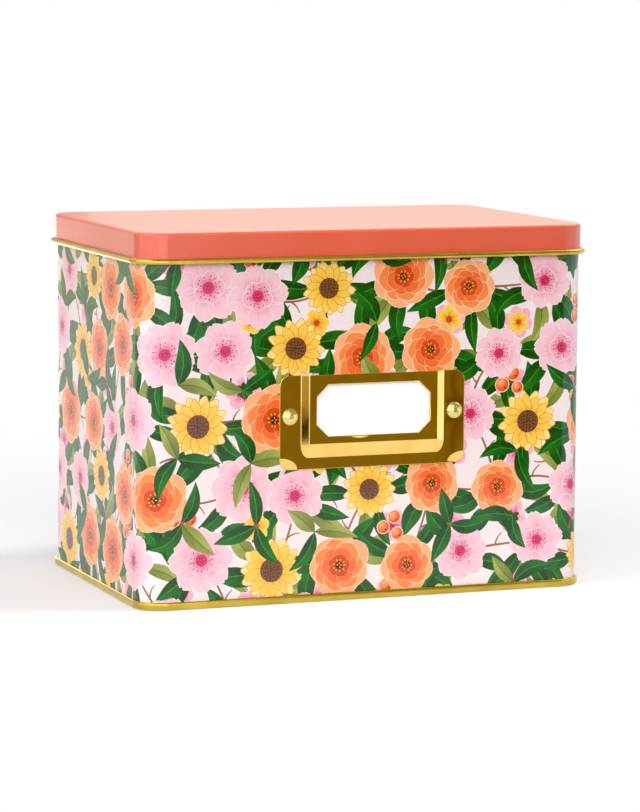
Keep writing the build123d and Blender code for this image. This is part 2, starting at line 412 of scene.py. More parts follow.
class MeshDraft:
    """Points, faces, corner normals and attributes of one piece, gathered block by block."""

    def __init__(self) -> None:
        """Start with nothing."""
        self.points: list[Array] = []
        self.total = 0
        self.triangles: list[Array] = []
        self.normals: list[Array] = []
        self.skins: list[Array] = []
        self.point_values: dict[str, list[Array]] = {}
        self.face_values: dict[str, list[Array]] = {}
        self.bake_map: list[Array] = []

    def add_points(self, points: Array, **values: Array) -> Array:
        """Add points and hand back their numbers.

        Args:
            points: Places in millimetres, shape (..., 3).
            values: Point attributes by name, with the same leading shape.

        Returns:
            The new points' numbers, in the leading shape of points.
        """
        flat = points.reshape(-1, 3)
        numbers = np.arange(self.total, self.total + len(flat)).reshape(points.shape[:-1])
        self.points.append(flat)
        self.total += len(flat)
        for name, value in values.items():
            self.point_values.setdefault(name, []).append(value.reshape(-1, value.shape[-1]))
        return numbers

    def add_faces(
        self, corners: Array, normals: Array, skin: Skin, uv: Array | None = None, **values: Array
    ) -> None:
        """Add triangles, each turned so that it faces the way its normals point.

        Args:
            corners: Point numbers, shape (n, 3).
            normals: Unit normals of those corners, shape (n, 3, 3).
            skin: The finish that they take.
            uv: Places of those corners on the bake map, shape (n, 3, 2), for a piece that has one.
            values: Face attributes by name, with n rows.
        """
        places = np.concatenate(self.points)[corners]
        facing = np.cross(places[:, 1] - places[:, 0], places[:, 2] - places[:, 0])
        wrong = (np.einsum("ij,ij->i", facing, normals.mean(axis=1)) < 0)[:, None, None]
        self.triangles.append(np.where(wrong[..., 0], corners[:, ::-1], corners))
        self.normals.append(np.where(wrong, normals[:, ::-1], normals))
        self.skins.append(np.full(len(corners), skin.value))
        if uv is not None:
            self.bake_map.append(np.where(wrong, uv[:, ::-1], uv).reshape(-1, 2))
        for name, value in values.items():
            self.face_values.setdefault(name, []).append(value)

    def add_grid(self, numbers: Array, normals: Array, skin: Skin) -> None:
        """Add the faces of a grid of points, two triangles to each cell.

        Args:
            numbers: Point numbers, shape (m, n).
            normals: Unit normals of those points, shape (m, n, 3).
            skin: The finish that they take.
        """
        def cells(grid: Array) -> Array:
            """Corners of both triangles of each cell of a grid."""
            a, b, c, d = grid[:-1, :-1], grid[1:, :-1], grid[1:, 1:], grid[:-1, 1:]
            first, second = np.stack([a, b, c], axis=2), np.stack([a, c, d], axis=2)
            return np.concatenate([first, second]).reshape(-1, 3, *grid.shape[2:])

        corners = cells(numbers)
        used = (corners != np.roll(corners, 1, axis=1)).all(axis=1)
        self.add_faces(corners[used], cells(normals)[used], skin)

    def build(self, name: str, finishes: Sequence[Material]) -> Object:
        """Make the object from what was gathered.

        Args:
            name: The piece's name.
            finishes: Materials in the order of Skin.

        Returns:
            The new object, at the origin, in metres, linked to the scene.
        """
        points = np.concatenate(self.points) * MM
        corners = np.concatenate(self.triangles)
        mesh = bpy.data.meshes.new(name)
        mesh.vertices.add(len(points))
        mesh.vertices.foreach_set("co", points.astype(np.float32).ravel())
        mesh.loops.add(corners.size)
        mesh.loops.foreach_set("vertex_index", corners.astype(np.int32).ravel())
        mesh.polygons.add(len(corners))
        mesh.polygons.foreach_set("loop_start", np.arange(0, corners.size, 3, dtype=np.int32))
        mesh.polygons.foreach_set("material_index", np.concatenate(self.skins).astype(np.int32))
        mesh.update(calc_edges=True)
        for domain, stores in (("POINT", self.point_values), ("FACE", self.face_values)):
            for key, rows in stores.items():
                values = np.concatenate(rows).astype(np.float32)
                kind, field_name = ("COLOR", "color") if values.shape[1] == 4 else ("VECTOR", "vector")
                made = mesh.attributes.new(key, "FLOAT_" + kind, domain)
                made.data.foreach_set(field_name, values.ravel())
        if self.bake_map:
            layer = mesh.uv_layers.new(name="OFBake")
            layer.data.foreach_set("uv", np.concatenate(self.bake_map).astype(np.float32).ravel())
        mesh.normals_split_custom_set(np.concatenate(self.normals).reshape(-1, 3))
        for finish in finishes:
            mesh.materials.append(finish)
        return put(name, mesh)


def closed(grid: Array) -> Array:
    """Repeat a grid's first column after its last, so that it closes on itself."""
    return np.concatenate([grid, grid[:, :1]], axis=1)


def on_the_left(run: Array) -> Array:
    """Flat vectors turned a quarter turn to the left."""
    return np.stack([-run[..., 1], run[..., 0]], axis=-1)


def unit(vectors: Array) -> Array:
    """Vectors brought to a length of 1, and zero ones as they are."""
    length = np.linalg.norm(vectors, axis=-1, keepdims=True)
    return vectors / np.where(length > 0, length, 1.0)


def level_vector(flat: Array) -> Array:
    """Places or vectors (x, z) of the upright plane y = 0, in space."""
    return np.stack([flat[..., 0], np.zeros_like(flat[..., 0]), flat[..., 1]], axis=-1)


@dataclass(frozen=True)
class WallLine:
    """The rounded rectangle that the sheet is bent to, measured over the wall's outer face.

    A place on it is the length s along the wall from the middle of the front, towards +X. The two
    ends of the sheet meet in the middle of the back, at plus and minus half the outline's length.
    """

    width: float = 165.0
    depth: float = 109.5
    corner_radius: float = 9.0

    @property
    def half_front(self) -> float:
        """Half of the flat length of the front."""
        return self.width / 2 - self.corner_radius

    @property
    def side(self) -> float:
        """Flat length of a side."""
        return self.depth - 2 * self.corner_radius

    @property
    def bend(self) -> float:
        """Length of the wall round one corner."""
        return QUARTER * self.corner_radius

    @property
    def half_length(self) -> float:
        """Half of the outline's length."""
        return 2 * self.half_front + self.side + 2 * self.bend

    def outward(self, s: Array) -> Array:
        """Unit vectors that point out of the wall at lengths s.

        The wall turns through (|s| - start) / radius in each bend, cut to a quarter turn, and the
        outward vector is (sin turn, -cos turn, 0), mirrored where s is negative.
        """
        along = np.abs(s)
        first = (along - self.half_front) / self.corner_radius
        second = (along - self.half_front - self.bend - self.side) / self.corner_radius
        turn = np.clip(first, 0, QUARTER) + np.clip(second, 0, QUARTER)
        return np.stack([np.sign(s) * np.sin(turn), -np.cos(turn), np.zeros_like(turn)], axis=-1)

    def place(self, s: Array, outset: Array, z: Array) -> Array:
        """Points at lengths s, an outset outwards from the wall's outer face, and heights z.

        A point is the bend's centre, which travels along the inner rectangle, plus the outward
        vector times radius plus outset.
        """
        along = np.abs(s)
        rear = self.half_front + 2 * self.bend + self.side
        across = np.minimum(along, self.half_front) - np.maximum(along - rear, 0)
        back = np.clip(along - self.half_front - self.bend, 0, self.side) - self.side / 2
        centre = np.stack([np.sign(s) * across, back, z], axis=-1)
        return centre + self.outward(s) * (self.corner_radius + outset)[..., None]

    def stations(self, flats_per_corner: int = 18) -> Array:
        """Lengths s once round the wall: evenly through each bend, and the ends of each flat."""
        turn = np.linspace(0, self.bend, flats_per_corner + 1)
        front = self.half_front + turn
        rear = self.half_front + self.bend + self.side + turn
        half = np.concatenate([[0.0], front, rear])
        return np.concatenate([-half[:0:-1], half, [self.half_length]])


class SheetProfile:
    """Centre line of bent sheet in a profile's plane: outset from the wall's face, and height."""

    def __init__(self, start: Pair, heading: float, outside_left: bool) -> None:
        """Begin a line.

        Args:
            start: First point, as outset and height.
            heading: Direction in degrees, 0 outwards and 90 up.
            outside_left: Whether the sheet's outside lies to the left of the line.
        """
        self.heading = math.radians(heading)
        self.side = 1.0 if outside_left else -1.0
        self.centre = np.array([start])
        self.angles = np.array([self.heading])

    def run(self, length: float) -> "SheetProfile":
        """Go on straight by a length."""
        step = length * np.array([math.cos(self.heading), math.sin(self.heading)])
        self.centre = np.concatenate([self.centre, [self.centre[-1] + step]])
        self.angles = np.append(self.angles, self.heading)
        return self

    def bend(self, radius: float, turn: float, degrees_per_step: float = 10.0) -> "SheetProfile":
        """Go on round an arc.

        The arc's centre is a radius to the left for a positive turn, and its points are the centre
        less radius times the left vector at each heading.

        Args:
            radius: Radius of the centre line.
            turn: Angle in degrees, positive to the left.
            degrees_per_step: Largest angle between two points.

        Returns:
            The same line, so that calls can follow one another.
        """
        steps = max(2, math.ceil(abs(turn) / degrees_per_step))
        headings = self.heading + np.linspace(0, math.radians(turn), steps + 1)
        left = np.stack([-np.sin(headings), np.cos(headings)], axis=-1) * math.copysign(radius, turn)
        arc = self.centre[-1] + left[0] - left
        self.centre = np.concatenate([self.centre, arc[1:]])
        self.angles = np.concatenate([self.angles, headings[1:]])
        self.heading = headings[-1]
        return self

    @property
    def along(self) -> Array:
        """Unit directions of the line."""
        return np.stack([np.cos(self.angles), np.sin(self.angles)], axis=-1)

    @property
    def outside(self) -> Array:
        """Unit normals on the outside of the sheet, along the line."""
        return self.side * on_the_left(self.along)


def rolled(
    name: str, profile: SheetProfile, wall: WallLine, thickness: float,
    finishes: Sequence[Material], closed_middle: bool = False,
) -> Object:
    """Build a piece that is a sheet profile carried round the wall line, with its raw edges.

    A face's points are the centre line plus or minus half the thickness along its normal.

    Args:
        name: The piece's name.
        profile: The centre line, whose first point lies furthest in where the middle is closed.
        wall: The rounded rectangle.
        thickness: Thickness of the sheet.
        finishes: Materials in the order of Skin.
        closed_middle: Whether a flat panel closes the space inside the profile's first point.

    Returns:
        The new piece.
    """
    draft = MeshDraft()
    s = wall.stations()[:-1]
    outward = wall.outward(s)

    def lift(flat: Array) -> Array:
        """Turn profile vectors (outwards, up) into space at each station."""
        up = np.broadcast_to(flat[:, None, 1:], (len(flat), len(s), 1))
        level = flat[:, None, :1] * outward[None, :, :2]
        return np.concatenate([level, up], axis=-1)

    numbers = []
    for skin, sign in ((Skin.FACE, 1.0), (Skin.BACK, -1.0)):
        line = profile.centre + sign * thickness / 2 * profile.outside
        outset, height = (np.repeat(line[:, i:i + 1], len(s), axis=1) for i in (0, 1))
        numbers.append(draft.add_points(wall.place(np.broadcast_to(s, outset.shape), outset, height)))
        normals = lift(sign * profile.outside)
        draft.add_grid(closed(numbers[-1]), closed(normals), skin)
        if closed_middle:
            close_middle(draft, numbers[-1][0], normals[0], skin)
    for row, sign in ((-1, 1.0),) if closed_middle else ((0, -1.0), (-1, 1.0)):
        ends = lift(sign * profile.along[[row, row]])
        draft.add_grid(closed(np.stack(numbers)[:, row]), closed(ends), Skin.BACK)
    return draft.build(name, finishes)


def close_middle(draft: MeshDraft, ring: Array, normals: Array, skin: Skin, rings: int = 5) -> None:
    """Close the flat space inside a ring of points.

    Inner rings are the first ring drawn in towards its middle by even shares, down to one point.

    Args:
        draft: The mesh that holds the ring.
        ring: Numbers of the ring's points.
        normals: The ring's normals, which the flat middle shares.
        skin: The finish that it takes.
        rings: Number of rings to the middle.
    """
    outline = np.concatenate(draft.points)[ring]
    middle = outline.mean(axis=0)
    shares = np.linspace(1, 0, rings + 1)[1:-1]
    rows = draft.add_points(middle + shares[:, None, None] * (outline - middle))
    pole = np.full((1, len(ring)), draft.add_points(middle[None, :])[0])
    grid = np.concatenate([ring[None, :], rows, pole])
    flat = np.broadcast_to(normals[0] * [0, 0, 1], (*grid.shape, 3))
    draft.add_grid(closed(grid), closed(flat), skin)


def install(
    piece: Object, body: str, node: str, triangles_at_most: int = 200_000
) -> Object:
    """Make a piece ride on its body and stand for its CAD node, whose mesh it hides.

    Args:
        piece: The new piece.
        body: The CAD body that it rides on.
        node: The CAD node that it stands for.
        triangles_at_most: Size past which the piece is too heavy.

    Returns:
        The same piece.
    """
    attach(piece, body)
    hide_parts(node)
    triangles = len(piece.data.polygons)
    if triangles > triangles_at_most:
        raise ValueError(f"{piece.name} has {triangles} triangles")
    LOG.info("%s rides on %s for %s, %d triangles", piece.name, body, node, triangles)
    return piece


# ---- Flat regions of a sheet ----


@dataclass
class Region:
    """One flat area of a sheet, laid over those before it, with its motif's heart and reach."""

    outline: Array
    ink: Ink
    heart: Array | Pair = (0.0, 0.0)
    reach: float = 1.0


def circle(radius: float, points: int) -> Array:
    """A circle about the origin, anticlockwise."""
    turn = np.arange(points) * 2 * math.pi / points
    return radius * np.stack([np.cos(turn), np.sin(turn)], axis=-1)


def rectangle(low: Pair, high: Pair) -> Array:
    """A rectangle between two corners, anticlockwise."""
    return np.array([low, (high[0], low[1]), high, (low[0], high[1])], dtype=float)


def rounded_rectangle(width: float, height: float, radius: float, points: int) -> Array:
    """A rectangle about the origin with quarter circles at its corners, anticlockwise."""
    quarters = np.linspace(0, QUARTER, points + 1) + np.arange(4)[:, None] * QUARTER
    signs = np.array([[1, 1], [-1, 1], [-1, -1], [1, -1]])
    centres = signs * [width / 2 - radius, height / 2 - radius]
    arcs = radius * np.stack([np.cos(quarters), np.sin(quarters)], axis=-1)
    return (centres[:, None, :] + arcs).reshape(-1, 2)


def border_pairs(triangles: Array) -> Array:
    """The three sides of each triangle as pairs of point numbers, shape (3 n, 2)."""
    return np.concatenate([triangles[:, [0, 1]], triangles[:, [1, 2]], triangles[:, [2, 0]]])


def triangulate(points: Array, edges: list, faces: list, inside_only: int, owners: bool) -> tuple:
    """Triangulate points by the constrained Delaunay method of Blender's own geometry module.

    Args:
        points: Places, shape (n, 2).
        edges: Pairs of point numbers that stay edges.
        faces: Lists of point numbers whose outlines stay edges.
        inside_only: 1 to keep what lies inside the faces, 0 to keep all.
        owners: Whether to work out which faces cover each triangle.

    Returns:
        The new places, the triangles as point numbers, and each triangle's covering faces.
    """
    least_length = 1e-5
    vectors = [Vector(point) for point in points.tolist()]
    made = delaunay_2d_cdt(vectors, edges, faces, inside_only, least_length, owners)
    return np.array([tuple(point) for point in made[0]]), made[2], made[5]


@dataclass
class CutSheet:
    """A flat sheet cut into triangles, each of which knows the topmost region that covers it."""

    points: Array
    triangles: Array
    region: Array

    @classmethod
    def cut(cls, regions: Sequence[Array], lines: Sequence[Array]) -> "CutSheet":
        """Cut the area of the first region along the outlines of all regions and along lines.

        Args:
            regions: Outlines in the order in which they are laid down. The first is the sheet.
            lines: Pairs of points, or longer open lines, that triangles must not cross.

        Returns:
            The triangles inside the first region.
        """
        outlines = [anticlockwise(outline) for outline in regions]
        starts = np.cumsum([0, *(len(outline) for outline in outlines)])
        faces = [list(range(a, b)) for a, b in zip(starts[:-1], starts[1:])]
        edges = chained([len(line) for line in lines], int(starts[-1]))
        points, made, owners = triangulate(np.concatenate([*outlines, *lines]), edges, faces, 1, True)
        keep = [i for i, owner in enumerate(owners) if 0 in owner]
        triangles = np.array([made[i] for i in keep])
        region = np.array([max(owners[i]) for i in keep])
        used, packed = np.unique(triangles, return_inverse=True)
        return cls(points[used], packed.reshape(-1, 3), region)

    def merged(self, lines: Sequence[Array]) -> "CutSheet":
        """The same sheet without the cuts between triangles of one region.

        Only edges between two regions, the sheet's border and the given lines are kept, the sheet
        is cut along them anew, and each new triangle takes the region under its middle.
        """
        sides = np.sort(border_pairs(self.triangles), axis=1)
        order = np.lexsort((sides[:, 1], sides[:, 0]))
        sides = sides[order]
        owner = np.tile(np.arange(len(self.triangles)), 3)[order]
        first = np.flatnonzero(np.r_[True, (sides[1:] != sides[:-1]).any(axis=1)])
        last = np.r_[first[1:], len(sides)] - 1
        kept = (first == last) | (self.region[owner[first]] != self.region[owner[last]])
        edges = straightened(self.points, sides[first[kept]])
        used, packed = np.unique(edges, return_inverse=True)
        chains = packed.reshape(-1, 2).tolist() + chained([len(line) for line in lines], len(used))
        places, made, _ = triangulate(
            np.concatenate([self.points[used], *lines]), chains, [], 0, False
        )
        triangles = np.array(made)
        middles = places[triangles].mean(axis=1)
        level = np.column_stack([self.points, np.zeros(len(self.points))])
        flat_tree = BVHTree.FromPolygons(level.tolist(), self.triangles.tolist())
        down = Vector((0.0, 0.0, -1.0))
        under = [flat_tree.ray_cast(Vector((x, y, 1.0)), down)[2] for x, y in middles.tolist()]
        inside = np.array([face is not None for face in under])
        region = self.region[np.array([face for face in under if face is not None])]
        return CutSheet(places, triangles[inside], region)

    def without(self, region: int | Sequence[int]) -> "CutSheet":
        """The same sheet with the triangles of some regions cut out."""
        kept = ~np.isin(self.region, region)
        used, packed = np.unique(self.triangles[kept], return_inverse=True)
        return CutSheet(self.points[used], packed.reshape(-1, 3), self.region[kept])

    def border(self) -> Array:
        """Edges that belong to one triangle only, each with the sheet on its left, shape (n, 2)."""
        a, b, c = (self.points[self.triangles[:, i]] for i in range(3))
        spin = (b[:, 0] - a[:, 0]) * (c[:, 1] - a[:, 1]) - (b[:, 1] - a[:, 1]) * (c[:, 0] - a[:, 0])
        edges = border_pairs(np.where(spin[:, None] < 0, self.triangles[:, ::-1], self.triangles))
        low, high = edges.min(axis=1), edges.max(axis=1)
        key = low.astype(np.int64) * (len(self.points) + 1) + high
        _, first, times = np.unique(key, return_index=True, return_counts=True)
        return edges[first[times == 1]]

    def border_outward(self, border: Array) -> Array:
        """Unit vectors in the sheet's plane that point out of it at the border's points."""
        out = unit(-on_the_left(self.points[border[:, 1]] - self.points[border[:, 0]]))
        summed = np.zeros_like(self.points)
        np.add.at(summed, border[:, 0], out)
        np.add.at(summed, border[:, 1], out)
        return unit(summed)


def straightened(points: Array, edges: Array, tolerance: float = 0.004, passes: int = 9) -> Array:
    """Join edges that run on in line at a point that no other edge uses.

    A point goes where it lies within the tolerance of the line between its two neighbours. In each
    pass a point waits for those of its neighbours that come before it in a shuffled order.

    Args:
        points: Places, shape (n, 2).
        edges: Pairs of point numbers, shape (m, 2).
        tolerance: Largest distance from the line, in millimetres.
        passes: Number of passes.

    Returns:
        The remaining pairs.
    """
    rank = np.random.default_rng(1).permutation(len(points))
    for _ in range(passes):
        both = np.concatenate([edges, edges[:, ::-1]])
        both = both[np.argsort(both[:, 0], kind="stable")]
        single = np.flatnonzero(np.bincount(edges.ravel(), minlength=len(points)) == 2)
        start = np.searchsorted(both[:, 0], single)
        a, b = both[start, 1], both[start + 1, 1]
        chord, away = points[b] - points[a], points[single] - points[a]
        length = np.linalg.norm(chord, axis=1) + 1e-12
        offset = np.abs(chord[:, 0] * away[:, 1] - chord[:, 1] * away[:, 0]) / length
        ahead = np.einsum("ij,ij->i", chord, away) / length
        loose = np.zeros(len(points), dtype=bool)
        loose[single] = (offset < tolerance) & (ahead > 0) & (ahead < length)
        go = loose[single]
        for beside in (a, b):
            go = go & ~(loose[beside] & (rank[beside] < rank[single]))
        gone = np.zeros(len(points), dtype=bool)
        gone[single[go]] = True
        edges = np.concatenate([edges[~gone[edges].any(axis=1)], np.stack([a[go], b[go]], axis=1)])
    return edges


def chained(lengths: Sequence[int], first: int) -> list[tuple[int, int]]:
    """Edges along open lines of the given lengths, whose points are numbered on from a first one."""
    starts = first + np.cumsum([0, *lengths])
    return [(i, i + 1) for start, length in zip(starts, lengths) for i in range(start, start + length - 1)]


def anticlockwise(outline: Array) -> Array:
    """The outline, reversed if its area is negative by the shoelace formula."""
    x, y = outline.T
    area = np.dot(x, np.roll(y, -1)) - np.dot(y, np.roll(x, -1))
    return outline if area > 0 else outline[::-1]


# ---- The print ----


def turned(outline: Array, degrees: float, centre: Array | Pair = (0.0, 0.0)) -> Array:
    """Turn an outline about the origin and then move it to a centre."""
    a = math.radians(degrees)
    spin = np.array([[math.cos(a), math.sin(a)], [-math.sin(a), math.cos(a)]])
    return outline @ spin + centre


def petal(end: float, width: float, notch: float = 0.0, base: float = 0.0) -> Array:
    """Outline of one petal along +X, from a share of its length called base to its tip.

    Half its width at share t of its length is width / 2 * sin(pi t ** 1.35) ** 0.7, and its tip is
    drawn in by notch on the middle line.
    """
    t = base + (1 - base) * np.sin(np.linspace(0, QUARTER, 8))
    half = width / 2 * np.maximum(np.sin(math.pi * t ** 1.35), 0) ** 0.7
    upper = np.stack([end * t, half], axis=-1)
    upper[-1] = (end - notch, 0.0)
    return np.concatenate([upper, (upper * [1, -1])[-2:0 if base == 0 else None:-1]])


def wedge(start: float, end: float, width: float) -> Array:
    """Outline of a fine brush mark along +X that runs out to a point."""
    return np.array([(start, -width / 2), (end, 0.0), (start, width / 2)])


def stroke(line: Array, widths: Pair) -> Array:
    """Outline of a brush stroke along a line, whose width changes evenly from end to end.

    Each side is the line plus or minus half the width along its normal.
    """
    side = unit(on_the_left(np.gradient(line, axis=0))) * np.linspace(*widths, len(line))[:, None] / 2
    return np.concatenate([line + side, (line - side)[::-1]])


def arched(start: Array | Pair, end: Array | Pair, sag: float, points: int) -> Array:
    """A line from start to end that bows to the left by sag times a half sine."""
    t = np.linspace(0, 1, points)[:, None]
    run = np.subtract(end, start)
    return start + run * t + unit(on_the_left(run)) * sag * np.sin(math.pi * t)


@dataclass(frozen=True)
class PetalRing:
    """One ring of petals. Lengths and widths are shares of the flower's radius.

    Each petal has a fine line in the rim's ink round it, a notch of some depth in its tip, and fine
    creases at angles in degrees from its middle line, which reach to a share of its length.
    """

    petals: int
    reach: float
    width: float
    ink: Ink
    rim: Ink
    notch: float = 0.0
    creases: tuple[float, ...] = ()
    crease: Ink = Ink.EMBER
    crease_reach: float = 0.7


@dataclass(frozen=True)
class FlowerKind:
    """A kind of flower: rings of petals from the outside in, an eye, and rings of dots.

    Each ring of dots is its radius and a dot's radius, as shares of the flower's, and their number.
    """

    radius: float
    rings: tuple[PetalRing, ...]
    eye: float
    eye_ink: Ink
    eye_rim: Ink
    dot_ink: Ink
    dots: tuple[tuple[float, float, int], ...]


BLOOM = FlowerKind(
    11.4,
    (
        PetalRing(7, 1.0, 0.98, Ink.APRICOT, Ink.PEACH_LIGHT, 0.03, (-12, -3, 9), Ink.ORANGE),
        PetalRing(7, 0.8, 0.78, Ink.ORANGE, Ink.PEACH_LIGHT, 0.0, (-12, 0, 13), Ink.CORAL),
        PetalRing(6, 0.58, 0.62, Ink.CORAL, Ink.APRICOT, 0.0, (-14, 4), Ink.EMBER),
        PetalRing(5, 0.36, 0.46, Ink.EMBER, Ink.ORANGE),
    ),
    0.11, Ink.SEED_DARK, Ink.EMBER, Ink.YELLOW, ((0.17, 0.026, 9), (0.06, 0.022, 4)),
)
BLOSSOM = FlowerKind(
    10.9,
    (
        PetalRing(8, 1.0, 0.78, Ink.PINK, Ink.PINK_LIGHT, 0.07, (-15, -7, 0, 7, 15), Ink.ROSE, 0.62),
        PetalRing(5, 0.5, 0.5, Ink.PINK_SHADE, Ink.PINK_LIGHT, 0.04, (-14, 0, 14), Ink.ROSE, 0.8),
    ),
    0.16, Ink.ROSE, Ink.ROSE, Ink.WINE, ((0.33, 0.02, 13), (0.24, 0.018, 9), (0.07, 0.024, 5)),
)
DAISY = FlowerKind(
    10.6,
    (
        PetalRing(13, 1.0, 0.4, Ink.YELLOW_LIGHT, Ink.OCHRE, 0.03, (-3, 4), Ink.OCHRE, 0.8),
        PetalRing(13, 0.86, 0.36, Ink.YELLOW, Ink.OCHRE, 0.0, (0,), Ink.OCHRE, 0.75),
    ),
    0.34, Ink.SEED, Ink.SEED_DARK, Ink.SEED_DARK,
    ((0.28, 0.024, 15), (0.2, 0.026, 11), (0.12, 0.024, 7), (0.04, 0.024, 3)),
)
PINK_FILLER = FlowerKind(
    6.6, (PetalRing(6, 1.0, 0.82, Ink.PINK_SHADE, Ink.PINK_LIGHT, 0.08, (-12, 0, 12), Ink.ROSE, 0.7),),
    0.17, Ink.ROSE, Ink.ROSE, Ink.WINE, ((0.36, 0.03, 8),),
)
YELLOW_FILLER = FlowerKind(
    4.9, (PetalRing(6, 1.0, 0.8, Ink.YELLOW, Ink.YELLOW_LIGHT, 0.05, (-10, 10), Ink.OCHRE, 0.7),),
    0.2, Ink.CORAL, Ink.OCHRE, Ink.EMBER, ((0.1, 0.04, 4),),
)
FLOWER_ORDER = (BLOOM, BLOSSOM, BLOOM, DAISY, BLOSSOM)


@dataclass(frozen=True)
class LeafKind:
    """A kind of leaf: the inks of its body, of its shaded half and of its veins."""

    body: Ink
    shade: Ink
    vein: Ink


SAGE_LEAF = LeafKind(Ink.SAGE, Ink.SAGE_SHADE, Ink.SAGE_VEIN)
GREEN_LEAF = LeafKind(Ink.LEAF, Ink.LEAF_SHADE, Ink.LEAF_VEIN)


@dataclass
class FloralPrint:
    """A garden print for the flat sheet: three kinds of flower among leaves, twigs and berries.

    Flowers sit on a staggered grid of columns and rows, which fills half_length to both sides and
    the heights from low to high. Each is shifted by up to a share of the grid's pitches, and what
    fills the gaps by up to gap_shift. The chances are those of a twig along the sheet and of one up
    it, of a small flower in a gap, and of leaves over the flowers round it. A leaf's size is its
    length and width, and a stroke has widths at its two ends. A petal's body is shorter and
    narrower than its rim by petal_inset. A spread is the share, and a sway the degrees, by which a
    value may differ. Regions are drawn in millimetres on the flat sheet, with s along it and z up.
    """

    half_length: float
    low: float
    high: float
    seed: int = 20
    columns: int = 22
    rows: int = 5
    shift: Pair = (0.16, 0.15)
    gap_shift: float = 2.0
    twig_chances: Pair = (0.7, 0.6)
    filler_chance: float = 0.75
    over_chance: float = 0.5
    leaf_size: Pair = (17.0, 5.9)
    over_leaf_size: Pair = (14.5, 5.4)
    leaf_root: float = 6.5
    twig_widths: Pair = (1.0, 0.55)
    vein_widths: Pair = (0.42, 0.12)
    petal_inset: Pair = (0.2, 0.42)
    crease_width: float = 0.24
    flower_spread: float = 0.12
    cover_share: float = 0.72
    ring_share: float = 0.75
    ring_sway: float = 5.0
    eye_margin: float = 0.25
    dot_stretch: Pair = (1.5, 1.0)
    dot_spread: Pair = (0.25, 0.06)
    base_share: float = 0.8
    petal_sway: float = 3.0
    petal_spread: Pair = (0.05, 0.06)
    crease_spread: float = 0.16
    crease_foot: float = 0.16
    leaf_bow: float = 0.16
    vein_reach: float = 0.72
    vein_rise: float = 0.2
    vein_half_width: float = 0.1
    twig_sag: float = 3.5
    twig_reach: float = 20.0
    shoot_lean: float = 1.4
    shoot_length: float = 5.0
    shoot_widths: Pair = (0.7, 0.35)
    berry_radius: float = 2.15
    berry_spread: float = 0.16
    berry_stalk: float = 3.3
    bud_length: float = 6.2
    bud_spread: float = 0.15
    filler_shares: Triple = (0.2, 0.45, 0.65)
    over_pitch: float = 105.0
    over_sway: float = 14.0
    over_spread: Pair = (0.16, 0.14)
    sage_chance: float = 0.25
    spray_sway: Pair = (22.0, 20.0)
    leaf_spread: Pair = (0.14, 0.16)
    regions: list[Region] = field(default_factory=list)
    covers: list[tuple[Array, float, int]] = field(default_factory=list)

    def __post_init__(self) -> None:
        """Start the seeded source of small differences."""
        self.dice = np.random.default_rng(self.seed)

    def lay(self, outline: Array, ink: Ink, heart: Array, reach: float) -> None:
        """Lay one region over those before it, with the heart and the reach of its motif."""
        self.regions.append(Region(outline, ink, heart, reach))

    def stamp(self, outline: Array, turn: float, place: Array, ink: Ink, reach: float) -> None:
        """Lay an outline that is drawn about its motif's heart, turned and moved to its place."""
        self.lay(turned(outline, turn, place), ink, place, reach)

    def vary(self, value: float, share: float) -> float:
        """A value that differs from the given one by up to a share of it."""
        return float(value * (1 + self.dice.uniform(-share, share)))

    def flower(self, kind: FlowerKind, place: Array) -> None:
        """Draw a flower: each ring of petals from the outside in, the eye and its dots."""
        radius = self.vary(kind.radius, self.flower_spread)
        start = self.dice.uniform(0, 360)
        # Whatever lies within this disc so far will be wholly covered
        self.covers.append((place, radius * kind.rings[0].reach * self.cover_share, len(self.regions)))
        for ring, inner in zip(kind.rings, [*kind.rings[1:], None]):
            covered = kind.eye if inner is None else inner.reach * self.ring_share
            self.petal_ring(ring, place, radius, start, covered)
            start += 180 / ring.petals + self.dice.uniform(-self.ring_sway, self.ring_sway)
        eye = circle(radius * kind.eye, 18)
        self.stamp(eye * (1 + self.eye_margin / (radius * kind.eye)), 0.0, place, kind.eye_rim, radius)
        self.stamp(eye, 0.0, place, kind.eye_ink, radius)
        scatter, spread = self.dot_spread
        for reach, size, count in kind.dots:
            for number in range(count):
                turn = 360 / count * (number + self.dice.uniform(-scatter, scatter))
                dot = circle(radius * size, 5) * self.dot_stretch
                dot = dot + [radius * self.vary(reach, spread), 0]
                self.stamp(dot, turn, place, kind.dot_ink, radius)

    def petal_ring(
        self, ring: PetalRing, place: Array, radius: float, start: float, covered: float
    ) -> None:
        """Draw one ring of petals, each over the one before it, with its rim and creases.

        Args:
            ring: The ring.
            place: The flower's heart.
            radius: Its radius.
            start: Angle of the first petal in degrees.
            covered: Share of the radius that the next ring hides, where petals need no base.
        """
        base = self.base_share * covered / ring.reach
        for number in range(ring.petals):
            sway = self.dice.uniform(-self.petal_sway, self.petal_sway)
            turn = start + 360 / ring.petals * number + sway
            end = radius * ring.reach * self.vary(1, self.petal_spread[0])
            width = radius * ring.width * self.vary(1, self.petal_spread[1])
            notch = radius * ring.notch
            self.stamp(petal(end, width, notch, base), turn, place, ring.rim, end)
            shorter, narrower = self.petal_inset
            body = petal(end - shorter, width - narrower, notch, base)
            self.stamp(body, turn, place, ring.ink, end)
            for lean in ring.creases:
                tip = end * ring.crease_reach * self.vary(1, self.crease_spread)
                foot = max(base * end, end * self.crease_foot)
                line = wedge(foot, max(tip, base * end * 1.1), self.crease_width)
                self.stamp(line, turn + lean, place, ring.crease, end)

